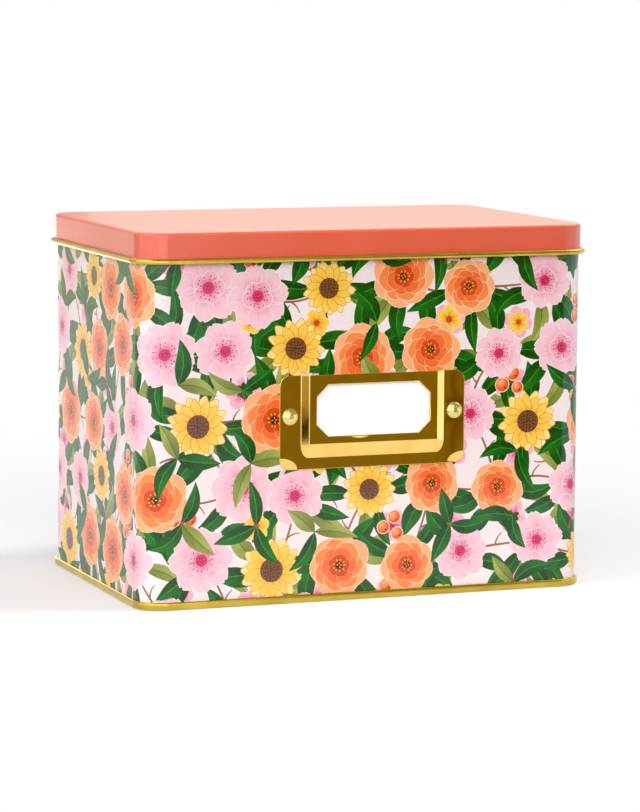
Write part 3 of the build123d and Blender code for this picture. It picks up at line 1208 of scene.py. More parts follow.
    def in_sight(self) -> list[Region]:
        """The regions that no later flower wholly covers, judged by their bounding boxes."""
        lows = np.array([region.outline.min(axis=0) for region in self.regions])
        highs = np.array([region.outline.max(axis=0) for region in self.regions])
        seen = np.ones(len(lows), dtype=bool)
        order = np.arange(len(lows))
        for place, radius, first in self.covers:
            furthest = np.maximum(np.abs(lows - place), np.abs(highs - place))
            seen &= (np.hypot(*furthest.T) > radius) | (order >= first)
        return [region for region, shown in zip(self.regions, seen) if shown]

    def leaf(self, kind: LeafKind, place: Array, turn: float, length: float, width: float) -> None:
        """Draw a pointed leaf from its stalk at a place, with one half in shade, a midrib and veins.

        Half its width at share t of its length is width / 2 * sin(pi t ** 0.8), and its middle line
        bows by a half sine.
        """
        bow = self.dice.uniform(-self.leaf_bow, self.leaf_bow) * length
        middle = arched((0.0, 0.0), (length, 0.0), bow, 10)
        normal = unit(on_the_left(np.gradient(middle, axis=0)))
        half = width / 2 * np.sin(math.pi * np.linspace(0, 1, len(middle)) ** 0.8)[:, None]
        half[-1] = 0.0
        upper, lower = middle + normal * half, middle - normal * half
        for outline, ink in (
            (np.concatenate([upper, lower[-2:0:-1]]), kind.body),
            (np.concatenate([middle, lower[-2:0:-1]]), kind.shade),
            (stroke(middle[:-1:2], self.vein_widths), kind.vein),
        ):
            self.stamp(outline, turn, place, ink, length)
        for index in range(1, len(middle) - 3, 2):
            for side in (upper, lower):
                tip = middle[index] + self.vein_reach * (side[index + 2] - middle[index])
                foot = middle[index] + self.vein_rise * normal[index]
                beside = [self.vein_half_width, 0]
                vein = np.array([foot - beside, tip, foot + beside])
                self.stamp(vein, turn, place, kind.vein, length)

    def twig(self, start: Array, end: Array) -> None:
        """Draw a bowed brown twig between two places, with one short side shoot."""
        sag = float(self.dice.uniform(-self.twig_sag, self.twig_sag))
        line = arched(start, end, sag, 12)
        fork, run = line[5], line[6] - line[5]
        aside = on_the_left(run) * math.copysign(self.shoot_lean, sag)
        shoot = arched(fork, fork + unit(aside + run) * self.shoot_length, 0.5, 4)
        self.lay(stroke(line, self.twig_widths), Ink.TWIG, start, self.twig_reach)
        self.lay(stroke(shoot, self.shoot_widths), Ink.TWIG, start, self.twig_reach)

    def berries(self, place: Array) -> None:
        """Draw a sprig of three orange berries, each with a pale mark and a dark eye."""
        start = self.dice.uniform(0, 360)
        for turn in (start, start + 110, start + 230):
            size = self.vary(self.berry_radius, self.berry_spread)
            middle = turned(np.array([self.berry_stalk, 0.0]), turn, place)
            self.lay(stroke(arched(place, middle, 0.5, 4), (0.6, 0.45)), Ink.TWIG, place, 9.0)
            heart = middle + [-size * 0.3, size * 0.3]
            mark = stroke(arched((-0.95, 0.3), (0.0, 1.1), 0.2, 4) * size / 1.9, (0.42, 0.2))
            for outline, ink, reach in (
                (circle(size + 0.3, 14), Ink.PEACH_LIGHT, size), (circle(size, 14), Ink.BERRY, size * 1.5),
                (mark, Ink.PEACH_LIGHT, size),
                (circle(0.34, 6) + [size * 0.4, -size * 0.4], Ink.SEED_DARK, size),
            ):
                self.lay(outline + middle, ink, heart, reach)

    def bud(self, place: Array, turn: float) -> None:
        """Draw a closed bud on a short stalk, held by two green sepals."""
        size = self.vary(self.bud_length, self.bud_spread)
        stalk = arched((-6.5, 0.0), (0.4, 0.0), 0.6, 5)
        self.stamp(stroke(stalk, (0.6, 0.8)), turn, place, Ink.TWIG, 9.0)
        for lean, length, width, ink in (
            (0, 1.12, 1.0, Ink.PINK_LIGHT), (16, 1.0, 0.6, Ink.PINK), (-10, 1.05, 0.5, Ink.PINK_SHADE),
            (30, 0.5, 0.3, Ink.LEAF), (-24, 0.52, 0.3, Ink.LEAF_SHADE),
        ):
            self.stamp(petal(size * length, size * width), turn + lean, place, ink, size)

    def filler(self, place: Array) -> None:
        """Put something small into the space between flowers, or leave it as it is."""
        pick = self.dice.random()
        flower, berries, bud = self.filler_shares
        if pick < flower:
            self.flower(YELLOW_FILLER, place)
        elif pick < berries:
            self.berries(place)
        elif pick < bud:
            self.bud(place, self.dice.uniform(0, 360))

    def overlap(self, place: Array) -> None:
        """Draw two or three leaves that spring from a gap and lie over the flowers round it."""
        start = self.dice.uniform(0, 360)
        for number in range(self.dice.integers(2, 4)):
            sway = self.dice.uniform(-self.over_sway, self.over_sway)
            kind = SAGE_LEAF if self.dice.random() < self.sage_chance else GREEN_LEAF
            length, width = map(self.vary, self.over_leaf_size, self.over_spread)
            self.leaf(kind, place, start + self.over_pitch * number + sway, length, width)

    def leaf_spray(self, kind: LeafKind, place: Array, leaves: int) -> None:
        """Draw the leaves of one kind that stand out from under one flower."""
        start = self.dice.uniform(0, 360)
        apart, aslant = self.spray_sway
        for number in range(leaves):
            turn = start + 360 / leaves * number + self.dice.uniform(-apart, apart)
            root = turned(np.array([self.leaf_root, 0.0]), turn, place)
            lean = turn + self.dice.uniform(-aslant, aslant)
            length, width = map(self.vary, self.leaf_size, self.leaf_spread)
            self.leaf(kind, root, lean, length, width)

    def draw(self) -> list[Region]:
        """Draw the whole sheet and hand back its regions, from the ground up."""
        pitch_s = 2 * self.half_length / self.columns
        pitch_z = (self.high - self.low) / self.rows
        column, row = np.meshgrid(np.arange(-1, self.columns + 1), np.arange(-1, self.rows + 1))
        s = -self.half_length + (column + 0.5 + 0.5 * (row % 2)) * pitch_s
        z = self.low + (row + 0.5) * pitch_z
        s = s + self.dice.uniform(-self.shift[0], self.shift[0], s.shape) * pitch_s
        z = z + self.dice.uniform(-self.shift[1], self.shift[1], z.shape) * pitch_z
        grid = np.stack([s, z], axis=-1)
        gaps = (grid[:-1, :-1] + grid[1:, :-1] + grid[:-1, 1:] + grid[1:, 1:]) / 4
        gaps = gaps + self.dice.uniform(-self.gap_shift, self.gap_shift, gaps.shape)
        kinds = (2 * column + 3 * row + (row > 1)) % len(FLOWER_ORDER)

        for r, c in np.ndindex(gaps.shape[:2]):
            for chance, end in zip(self.twig_chances, (grid[r, c + 1], grid[r + 1, c])):
                if self.dice.random() < chance:
                    self.twig(grid[r, c], end)
        places, gaps = grid.reshape(-1, 2), gaps.reshape(-1, 2)
        for place in places:
            self.leaf_spray(SAGE_LEAF, place, 2)
        for place in gaps:
            if self.dice.random() < self.filler_chance:
                self.flower(PINK_FILLER, place)
        for place in places:
            self.leaf_spray(GREEN_LEAF, place, 4)
        for place in gaps:
            self.filler(place)
        for kind, place in zip(kinds.ravel(), places):
            self.flower(FLOWER_ORDER[kind], place)
        for place in gaps:
            if self.dice.random() < self.over_chance:
                self.overlap(place)
        return self.in_sight()


# ---- The tin's body ----


def no_print(count: int) -> dict[str, Array]:
    """Print attributes of faces that carry no ink."""
    lacquer = np.tile(linear(Ink.BARE.value[0]), (count, 1))
    return {"ink": lacquer, "ink_heart": lacquer, "motif": np.zeros((count, 3))}


@dataclass(frozen=True)
class BakeStrip:
    """Where a stretch of sheet lies on its piece's bake map.

    Across, a place is its share of the total length of sheet in the piece, from the stretch's start
    on and after a shift for the stretches before it. Upwards, from bottom to top, printed faces
    fill one band of the map and bare faces another.
    """

    start: float
    shift: float
    total: float
    bottom: float
    top: float
    margin: float = 0.005
    printed: Pair = (0.005, 0.655)
    bare: Pair = (0.69, 0.99)

    def places(self, flat: Array, band: Pair) -> Array:
        """Places on the map for places on the flat sheet, in one of the two bands."""
        across = self.shift + (flat[:, 0] - self.start) / self.total
        up = (flat[:, 1] - self.bottom) / (self.top - self.bottom)
        return np.stack([
            self.margin + (1 - 2 * self.margin) * across, band[0] + (band[1] - band[0]) * up
        ], axis=-1)


@dataclass
class TinBody:
    """The wall of the tin: a printed sheet in four stretches, its rim, its foot and its lock seam."""

    wall: WallLine
    tin: float = 0.3
    sheet_bottom: float = 2.0
    sheet_top: float = 124.0
    print_top: float = 120.4
    rim_bend_height: float = 128.1
    rim_bend: float = 0.75
    rim_turn: float = 290.0
    hook_tip: float = 2.2
    hook_bend: float = 0.4
    hook_gap: float = 0.02
    front_return: float = 3.0
    back_return: float = 3.0
    seam_bottom: float = 5.0
    seam_half_width: float = 2.5
    seam_pitch: float = 0.35
    jog_start: float = 4.074
    jog_bend: float = 0.3
    jog_slope: float = 45.0
    rivet_hole: float = 2.6
    rivet_places: tuple[Pair, ...] = ()

    def stretches(self) -> dict[str, list[Array]]:
        """Outlines of the sheet's four stretches, flat.

        The front holds both front corners and the back both rear ones. At the back the sheet's
        ends meet, the right end set back where the lock seam dips in, and flush below it.
        """
        wall = self.wall
        front = wall.half_front + wall.bend + self.front_return
        back = wall.half_front + wall.bend + wall.side - self.back_return
        end = wall.half_length
        low, high = self.sheet_bottom, self.sheet_top
        left_end = -(end + self.seam_half_width)
        notch, tab = end - self.jog_start, end - self.seam_half_width
        right_back = np.array([
            (back, low), (tab, low), (tab, self.seam_bottom), (notch, self.seam_bottom),
            (notch, high), (back, high),
        ])
        return {
            "wall_front": [rectangle((-front, low), (front, high))],
            "wall_right": [rectangle((front, low), (back, high))],
            "wall_back": [right_back, rectangle((left_end, low), (-back, high))],
            "wall_left": [rectangle((-back, low), (-front, high))],
        }

    def build_wall(self, regions: Sequence[Region], litho: Material, lacquer: Material) -> list[Object]:
        """Cut, wrap and build the printed stretches of the wall.

        Args:
            regions: The print, from the ground up.
            litho: Finish of the printed face.
            lacquer: Finish of the inside and of the bare margin.

        Returns:
            The four pieces.
        """
        pieces = []
        for name, outlines in self.stretches().items():
            draft = MeshDraft()
            used, total = 0.0, sum(np.ptp(outline[:, 0]) for outline in outlines)
            for outline in outlines:
                start = outline[:, 0].min()
                strip = BakeStrip(start, used / total, total, self.sheet_bottom, self.sheet_top)
                self.add_stretch(draft, outline, regions, strip)
                used += np.ptp(outline[:, 0])
            pieces.append(install(draft.build(name, [litho, lacquer]), "tin", "body_wall"))
        return pieces

    def add_stretch(
        self, draft: MeshDraft, outline: Array, regions: Sequence[Region], strip: BakeStrip
    ) -> None:
        """Add one stretch of the printed sheet, with its inner face and its edges.

        Args:
            draft: The mesh that it goes into.
            outline: The stretch's outline on the flat sheet.
            regions: The print, from the ground up.
            strip: Its place on the bake map.
        """
        low, high = outline.min(axis=0), outline.max(axis=0)
        near = [
            r for r in regions
            if (r.outline.max(axis=0) > low).all() and (r.outline.min(axis=0) < high).all()
        ]
        margin = Region(rectangle((low[0], self.print_top), (high[0], self.sheet_top)), Ink.BARE)
        holes = [
            Region(circle(self.rivet_hole / 2, 20) + place, Ink.HOLE)
            for place in self.rivet_places if low[0] < place[0] < high[0]
        ]
        layers = [Region(outline, Ink.GROUND), *near, margin, *holes]
        stations = self.wall.stations()
        bends = [np.array([(s, low[1]), (s, high[1])]) for s in stations if low[0] < s < high[0]]
        sheet = CutSheet.cut([layer.outline for layer in layers], bends).merged(bends)
        sheet = sheet.without([i for i, layer in enumerate(layers) if layer.ink is Ink.HOLE])
        face = self.add_printed_face(draft, sheet, layers, strip)
        rim = self.add_border(draft, sheet, face, strip)

        blank = CutSheet.cut([outline, *(hole.outline for hole in holes)], bends)
        blank = blank.without(list(range(1, 1 + len(holes))))
        corners = blank.triangles
        inside = self.add_sheet_points(draft, blank.points, -self.tin)[corners]
        inward = -self.wall.outward(blank.points[:, 0])[corners]
        uv = strip.places(blank.points, strip.bare)[corners]
        draft.add_faces(inside, inward, Skin.BACK, uv, **no_print(len(corners)))
        LOG.info("a stretch of %d printed and %d bare triangles, %d at its edges",
                 len(sheet.triangles), len(corners), rim)

    def add_sheet_points(self, draft: MeshDraft, flat: Array, outset: float) -> Array:
        """Add the sheet's points at an outset from its outer face, and hand back their numbers."""
        s, z = flat[:, 0], flat[:, 1]
        sheet_mm = np.stack([s, z, np.zeros_like(s)], axis=-1)
        return draft.add_points(self.wall.place(s, np.full_like(s, outset), z), sheet_mm=sheet_mm)

    def add_printed_face(
        self, draft: MeshDraft, sheet: CutSheet, layers: Sequence[Region], strip: BakeStrip
    ) -> Array:
        """Add the outer face, each triangle with its layer's inks, and hand back its points."""
        bare = np.array([layer.ink is Ink.BARE for layer in layers])[sheet.region]
        rims, hearts = (
            np.array([linear(layer.ink.value[tone]) for layer in layers])[sheet.region]
            for tone in (0, 1)
        )
        motifs = np.array([(*layer.heart, 1 / layer.reach) for layer in layers])[sheet.region]
        face = self.add_sheet_points(draft, sheet.points, 0.0)
        outward = self.wall.outward(sheet.points[:, 0])
        uv = strip.places(sheet.points, strip.printed)
        for chosen, skin in ((~bare, Skin.FACE), (bare, Skin.BACK)):
            corners = sheet.triangles[chosen]
            draft.add_faces(
                face[corners], outward[corners], skin, uv[corners],
                ink=rims[chosen], ink_heart=hearts[chosen], motif=motifs[chosen],
            )
        return face

    def add_border(self, draft: MeshDraft, sheet: CutSheet, face: Array, strip: BakeStrip) -> int:
        """Add the raw edges round a stretch, and hand back how many triangles they took."""
        border = sheet.border()
        out_flat = sheet.border_outward(border)
        back = self.add_sheet_points(draft, sheet.points, -self.tin)
        outward = self.wall.outward(sheet.points[:, 0])
        tangent = np.stack([-outward[:, 1], outward[:, 0], np.zeros(len(outward))], axis=-1)
        normal = tangent * out_flat[:, :1]
        normal[:, 2] = out_flat[:, 1]
        uv = strip.places(sheet.points, strip.bare)
        a, b = border.T
        quads = np.stack([face[a], face[b], back[b], back[a]], axis=1)
        source = np.stack([a, b, b, a], axis=1)
        for corners in HALVES:
            picked = source[:, corners]
            draft.add_faces(
                quads[:, corners], normal[picked], Skin.BACK, uv[picked], **no_print(len(a))
            )
        return 2 * len(a)

    def build_rim(self, lacquer: Material) -> Object:
        """Build the top of the wall and the curl that hides its raw edge, rolled inwards."""
        profile = SheetProfile((-self.tin / 2, self.sheet_top), 90, outside_left=False)
        profile.run(self.rim_bend_height - self.sheet_top).bend(self.rim_bend, self.rim_turn)
        rim = rolled("rim_curl", profile, self.wall, self.tin, [lacquer, lacquer])
        return install(rim, "tin", "body_wall")

    def build_foot(self, lacquer: Material) -> Object:
        """Build the hook at the foot of the wall, which is locked into the double seam."""
        bottom = self.tin * 2 + self.hook_bend + self.hook_gap
        profile = SheetProfile((-self.tin / 2, self.sheet_bottom), -90, outside_left=True)
        profile.run(self.sheet_bottom - bottom).bend(self.hook_bend, 180)
        profile.run(self.hook_tip - bottom)
        hook = rolled("foot_hook", profile, self.wall, self.tin, [lacquer, lacquer])
        return install(hook, "tin", "body_wall")

    def build_lock_seam(self, lacquer: Material) -> Object:
        """Build the two folded edges of the sheet, locked into each other up the back.

        Both are profiles in plan, x to the left seen from behind and depth from the wall's outer
        face, carried straight up.
        """
        draft = MeshDraft()
        left = SheetProfile((self.seam_half_width, -self.tin / 2), 0, outside_left=True)
        left.bend(self.seam_pitch, -180).run(2 * self.seam_half_width)
        slope = math.radians(self.jog_slope)
        drop = 3 * self.seam_pitch
        ramp = (drop - 2 * self.jog_bend * (1 - math.cos(slope))) / math.sin(slope)
        right = SheetProfile((self.jog_start, -self.tin / 2), 180, outside_left=False)
        right.bend(self.jog_bend, self.jog_slope).run(ramp).bend(self.jog_bend, -self.jog_slope)
        right.run(right.centre[-1][0] + self.seam_half_width)
        right.bend(self.seam_pitch, -180).run(2 * self.seam_half_width)
        for profile in (left, right):
            self.carry_up(draft, profile)
        return install(draft.build("lock_seam", [lacquer, lacquer]), "tin", "body_wall")

    def carry_up(self, draft: MeshDraft, profile: SheetProfile) -> None:
        """Carry a plan profile at the back straight up, with both faces and all raw edges."""
        heights = np.array([self.seam_bottom, self.sheet_top])
        back = self.wall.depth / 2

        def raise_line(line: Array, level: bool) -> Array:
            """Stand plan points (or, level, plan vectors) up at both heights."""
            x = np.repeat(line[:, :1], 2, axis=1)
            y = np.repeat(line[:, 1:], 2, axis=1)
            z = np.zeros_like(x) if level else np.broadcast_to(heights, x.shape)
            return np.stack([x, y if level else back + y, z], axis=-1)

        numbers = []
        for skin, sign in ((Skin.FACE, 1.0), (Skin.BACK, -1.0)):
            line = profile.centre + sign * self.tin / 2 * profile.outside
            numbers.append(draft.add_points(raise_line(line, level=False)))
            draft.add_grid(numbers[-1], raise_line(sign * profile.outside, level=True), skin)
        both = np.stack(numbers)
        for row, sign in ((0, -1.0), (-1, 1.0)):
            ends = raise_line(sign * profile.along[[row, row]], level=True)
            draft.add_grid(both[:, row], ends, Skin.BACK)
        for column, up in ((0, -1.0), (1, 1.0)):
            strip = both[:, :, column]
            draft.add_grid(strip, np.broadcast_to([0.0, 0.0, up], (*strip.shape, 3)), Skin.BACK)


@dataclass
class BasePan:
    """The base: a stepped panel, its countersink, and the seam rolled round the wall's hook."""

    wall: WallLine
    tin: float = 0.3
    middle_height: float = 4.1
    start: float = -9.0
    step_start: float = -7.3
    step_bend: float = 1.0
    step_slope: float = 30.0
    step_ramp: float = 0.664
    panel_edge: float = -1.45
    countersink_bend: float = 0.9
    foot_bend: float = 0.5
    foot_line: float = 0.15
    seaming_line: float = 1.05
    seam_bend: float = 0.4
    seam_bend_height: float = 2.25
    seam_crown: float = 10.0
    cover_hook_end: float = 0.95

    def build(self, lacquer: Material) -> Object:
        """Build the pan from its raised middle out to the hook inside the seam."""
        profile = SheetProfile((self.start, self.middle_height), 0, outside_left=False)
        profile.run(self.step_start - self.start)
        profile.bend(self.step_bend, -self.step_slope).run(self.step_ramp)
        profile.bend(self.step_bend, self.step_slope)
        profile.run(self.panel_edge - profile.centre[-1][0])
        profile.bend(self.countersink_bend, -90)
        profile.run(profile.centre[-1][1] - self.foot_line - self.foot_bend)
        profile.bend(self.foot_bend, 90)
        # The seam's face is rolled to a slight crown, which leans by the same angle at both ends
        crown = math.radians(self.seam_crown)
        straight = self.seam_bend_height - self.foot_line - self.foot_bend
        bend = straight / (2 * math.sin(crown)) + (self.seam_bend + self.foot_bend) / 2
        crest = self.seaming_line - bend * (1 - math.cos(crown)) - self.foot_bend * math.cos(crown)
        profile.run(crest - profile.centre[-1][0])
        profile.bend(self.foot_bend, 90 - self.seam_crown)
        profile.bend(bend, 2 * self.seam_crown)
        profile.bend(self.seam_bend, 180 - self.seam_crown)
        profile.run(profile.centre[-1][1] - self.cover_hook_end)
        pan = rolled("base_pan_skin", profile, self.wall, self.tin, [lacquer, lacquer], True)
        return install(pan, "tin", "base_pan")


@dataclass
class SlipLid:
    """The lid: a flat top, a rounded edge, a straight skirt, and a curl rolled outwards."""

    wall: WallLine
    tin: float = 0.3
    height: float = 129.5
    skirt_line: float = 0.4
    edge_bend: float = 1.0
    flat_overlap: float = 1.35
    curl_height: float = 119.7
    curl_bend: float = 0.85
    curl_turn: float = 300.0

    def build(self, enamel: Material, lacquer: Material) -> Object:
        """Build the lid, enamelled outside, with its lacquered inside showing on the curl."""
        top = self.height - self.tin / 2
        start = self.skirt_line - self.edge_bend - self.flat_overlap
        profile = SheetProfile((start, top), 0, outside_left=True)
        profile.run(self.flat_overlap).bend(self.edge_bend, -90, degrees_per_step=7.5)
        profile.run(top - self.edge_bend - self.curl_height)
        profile.bend(self.curl_bend, self.curl_turn)
        shell = rolled("lid_shell", profile, self.wall, self.tin, [enamel, lacquer], True)
        return install(shell, "lid", "lid")


# ---- The label holder ----


@dataclass
class LabelHolder:
    """The brass label holder: a pressed plate with a pocket and a window, two rivets and a card.

    Places on the plate are x along it and z up it from its middle, and heights stand out from the
    wall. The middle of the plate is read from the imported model.
    """

    wall: WallLine
    tin: float = 0.3
    brass: float = 0.5
    plate_width: float = 69.0
    plate_height: float = 32.8
    plate_corner: float = 3.6
    edge_round: float = 0.16
    rise: float = 1.0
    face_half_width: float = 23.9
    side_slope: float = 2.75
    face_bottom: float = -7.7
    bottom_slope: float = 4.4
    fillet_share: float = 0.045
    window_width: float = 42.6
    window_height: float = 18.4
    window_cut: float = 4.3
    window_centre: float = 4.0
    crease_width: float = 6.4
    crease_height: float = 3.9
    crease_share: float = 0.05
    corner_drop: float = 0.62
    dish_depth: float = 0.06
    dish_reach: float = 3.6
    burr_place: float = -5.1
    burr_length: float = 3.2
    burr_width: float = 0.6
    burr_lift: float = 0.085
    rivet_spacing: float = 61.4
    rivet_height: float = 2.15
    rivet_hole: float = 2.6
    card_corner: float = 2.5
    card_softness: float = 0.05

    def __post_init__(self) -> None:
        """Read the plate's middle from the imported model."""
        low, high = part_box("label_frame")
        self.middle = ((low.x + high.x) / 2 / MM, (low.z + high.z) / 2 / MM)
        self.front = -self.wall.depth / 2

    @property
    def rivet_places(self) -> tuple[Pair, ...]:
        """Middles of the two rivets on the flat sheet of the wall."""
        return tuple(
            (self.middle[0] + side * self.rivet_spacing / 2, self.middle[1] + self.rivet_height)
            for side in (-1, 1)
        )

    def pocket_level(self, flat: Array) -> Array:
        """How far in from the pocket's foot a place is: 0 at the foot and 1 at the face's edge.

        With a and b the distances beyond the face's side and bottom in units of their slopes, the
        level is 1 less the larger of them, or 1 less their hypotenuse where both are positive.
        """
        a = (np.abs(flat[:, 0]) - self.face_half_width) / self.side_slope
        b = (self.face_bottom - flat[:, 1]) / self.bottom_slope
        outside = np.hypot(np.maximum(a, 0), np.maximum(b, 0))
        return 1 - np.where(np.maximum(a, b) > 0, outside, np.maximum(a, b))

    def corner_level(self, flat: Array) -> Array:
        """How far inside a lower corner's crease a place is: 0 on the crease, 1 at the corner.

        The crease is a quarter of an ellipse about the corner of the plate's outline.
        """
        across = (self.plate_width / 2 - np.abs(flat[:, 0])) / self.crease_width
        up = (self.plate_height / 2 + flat[:, 1]) / self.crease_height
        return 1 - np.hypot(across, up)

    def front_height(self, flat: Array) -> Array:
        """Height of the plate's front face over the wall.

        The pocket's slope is a clamp of its level, softened at both ends: half of
        sqrt(p^2 + e^2) - sqrt((p - 1)^2 + e^2) + 1. Inside each corner's crease the plate is bent
        back in proportion to the corner's level, softened at the crease in the same way. The flanges
        are dished a little by the rivets, by a depth over 1 + (distance / reach)^2. The punch lifts
        the window's lower edge near its middle, by exp(-below / width - (along / length)^2).
        """
        level, e = self.pocket_level(flat), self.fillet_share
        raised = (np.sqrt(level ** 2 + e ** 2) - np.sqrt((level - 1) ** 2 + e ** 2) + 1) / 2
        corner = self.corner_level(flat)
        bent = (corner + np.sqrt(corner ** 2 + self.crease_share ** 2)) / 2
        flank = np.hypot(np.abs(flat[:, 0]) - self.rivet_spacing / 2, flat[:, 1] - self.rivet_height)
        dish = self.dish_depth / (1 + (flank / self.dish_reach) ** 2)
        below = np.maximum(self.window_centre - self.window_height / 2 - flat[:, 1], 0)
        along = (flat[:, 0] - self.burr_place) / self.burr_length
        burr = self.burr_lift * np.exp(-below / self.burr_width - along ** 2)
        return self.brass + self.rise * raised - self.corner_drop * bent - dish + burr

    def front_normal(self, flat: Array, step: float = 0.01) -> Array:
        """Unit normals of the front face, from its height's differences over a small step."""
        slope_x, slope_z = (
            (self.front_height(flat + move) - self.front_height(flat - move)) / (2 * step)
            for move in ([step, 0], [0, step])
        )
        return unit(np.stack([-slope_x, -np.ones_like(slope_x), -slope_z], axis=-1))

    def stand(self, flat: Array, height: Array) -> Array:
        """Points at places on the plate and heights over the wall."""
        return np.stack(
            [self.middle[0] + flat[:, 0], self.front - height, self.middle[1] + flat[:, 1]], axis=-1
        )

    def beside_both(self, outlines: Sequence[Array]) -> list[Array]:
        """Each outline about the middle of the left rivet, and about that of the right one."""
        return [
            outline + (side * self.rivet_spacing / 2, self.rivet_height)
            for outline in outlines for side in (-1, 1)
        ]

    def level_line(self, level: float) -> Array:
        """Open line along the pocket where its level has one value, from top left to top right."""
        out = 1 - level
        top = self.plate_height / 2 + 1
        half = self.face_half_width + out * self.side_slope
        turn = np.linspace(math.pi, 1.5 * math.pi, 15)
        arc = np.stack([
            -self.face_half_width + out * self.side_slope * np.cos(turn),
            self.face_bottom + out * self.bottom_slope * np.sin(turn),
        ], axis=-1)
        if out <= 0:
            arc = np.array([(-half, self.face_bottom - out * self.bottom_slope)])
        down = np.stack([np.full(10, -half), np.linspace(top, arc[0, 1], 11)[:-1]], axis=-1)
        left = np.concatenate([down, arc])
        return np.concatenate([left, (left * [-1, 1])[::-1]])

    def corner_lines(self) -> list[Array]:
        """Arcs along each lower corner's crease, on both sides of it and further in."""
        turn = np.linspace(0.02, QUARTER - 0.02, 14)
        arc = np.stack([np.cos(turn) * self.crease_width, np.sin(turn) * self.crease_height], axis=-1)
        corner = [self.plate_width / 2, self.plate_height / 2]
        shares = (1.3, 1.12, 1.04, 1.0, 0.96, 0.88, 0.7)
        return [(arc * share - corner) * [side, 1] for share in shares for side in (1, -1)]

    def burr_lines(self) -> list[Array]:
        """Lines under the window's lower edge, where the punch has lifted it."""
        edge = self.window_centre - self.window_height / 2
        ends = np.linspace(-1.8, 1.8, 13) * self.burr_length + self.burr_place
        return [
            np.stack([ends, np.full(len(ends), edge - drop)], axis=-1)
            for drop in (0.12, 0.3, 0.55, 0.9, 1.4)
        ]

    def window_outline(self) -> Array:
        """Eight-sided outline of the window."""
        x, z, cut = self.window_width / 2, self.window_height / 2, self.window_cut
        corners = np.array([
            (x - cut, -z), (x, -z + cut), (x, z - cut), (x - cut, z),
            (cut - x, z), (-x, z - cut), (-x, cut - z), (cut - x, -z),
        ])
        return corners + [0, self.window_centre]

    def cut_plate(self) -> CutSheet:
        """Cut the flat plate along all lines on which its height bends, less window and holes."""
        inset = self.edge_round
        outline = rounded_rectangle(
            self.plate_width - 2 * inset, self.plate_height - 2 * inset, self.plate_corner - inset, 12
        )
        holes = self.beside_both([circle(self.rivet_hole / 2, 24)])
        levels = (-0.35, -0.15, -0.06, 0.0, 0.06, 0.15, 0.3, 0.5, 0.7, 0.85, 0.94, 1.0, 1.06, 1.15, 1.35)
        # Rings about each rivet hole, where the flange is dished
        rings = [circle(radius, 28) for radius in (1.8, 2.4, 3.0, 3.4)]
        rings = self.beside_both([np.concatenate([ring, ring[:1]]) for ring in rings])
        lines = [self.level_line(level) for level in levels]
        lines += self.corner_lines() + rings + self.burr_lines()
        return CutSheet.cut([outline, self.window_outline(), *holes], lines).without([1, 2, 3])

    def build_plate(self, brass: Material) -> Object:
        """Build the pressed plate, with softened edges round its outline and window."""
        sheet = self.cut_plate()
        draft = MeshDraft()
        normal = self.front_normal(sheet.points)
        front = self.stand(sheet.points, self.front_height(sheet.points))
        back = front - normal * self.brass
        back[:, 1] = np.minimum(back[:, 1], self.front)
        ends = [(draft.add_points(points), lean) for points, lean in ((front, normal), (back, -normal))]
        for numbers, lean in ends:
            draft.add_faces(numbers[sheet.triangles], lean[sheet.triangles], Skin.FACE)

        # Round its rims the sheet turns from either face through a quarter round to the raw edge
        border = sheet.border()
        out = level_vector(sheet.border_outward(border))
        turns = np.radians([22.5, 45, 67.5, 90])
        rings = [ends[0]]
        for face, facing, order, deepest in (
            (front, normal, turns, math.inf), (back, -normal, turns[::-1], self.front),
        ):
            for turn in order:
                lean = math.sin(turn) * out + math.cos(turn) * facing
                places = face + self.edge_round * (lean - facing)
                places[:, 1] = np.minimum(places[:, 1], deepest)
                rings.append((draft.add_points(places), lean))
        rings.append(ends[1])
        a, b = border.T
        for (outer, outer_lean), (inner, inner_lean) in zip(rings[:-1], rings[1:]):
            quads = np.stack([outer[a], outer[b], inner[b], inner[a]], axis=1)
            leans = np.stack([outer_lean[a], outer_lean[b], inner_lean[b], inner_lean[a]], axis=1)
            for corners in HALVES:
                draft.add_faces(quads[:, corners], leans[:, corners], Skin.FACE)
        return install(draft.build("label_plate", [brass]), "tin", "label_frame")

    def build_rivet(self, number: int, place: Pair, finish: Material) -> Object:
        """Build one rivet by turning its half section.

        Args:
            number: 1 for the left rivet and 2 for the right one.
            place: The rivet's middle, as x and z.
            finish: Its metal.

        Returns:
            The rivet.
        """
        around = level_vector(circle(1.0, 48))
        depth = np.array([0.0, -1.0, 0.0])

        def turn_round(flat: Array) -> Array:
            """Carry places or vectors (radius, height) of the section round the rivet's axis."""
            return flat[:, None, :1] * around + flat[:, None, 1:] * depth

        section = RivetSection(self.brass, self.tin).points()
        normal = unit(on_the_left(np.gradient(section, axis=0)))
        draft = MeshDraft()
        middle = np.array([place[0], self.front, place[1]])
        numbers = draft.add_points(middle + turn_round(section))
        for pole in (0, -1):
            numbers[pole] = numbers[pole, 0]
        draft.add_grid(closed(numbers), closed(turn_round(normal)), Skin.FACE)
        rivet = draft.build(f"label_rivet_{number}", [finish])
        return install(rivet, "tin", "label_rivets")

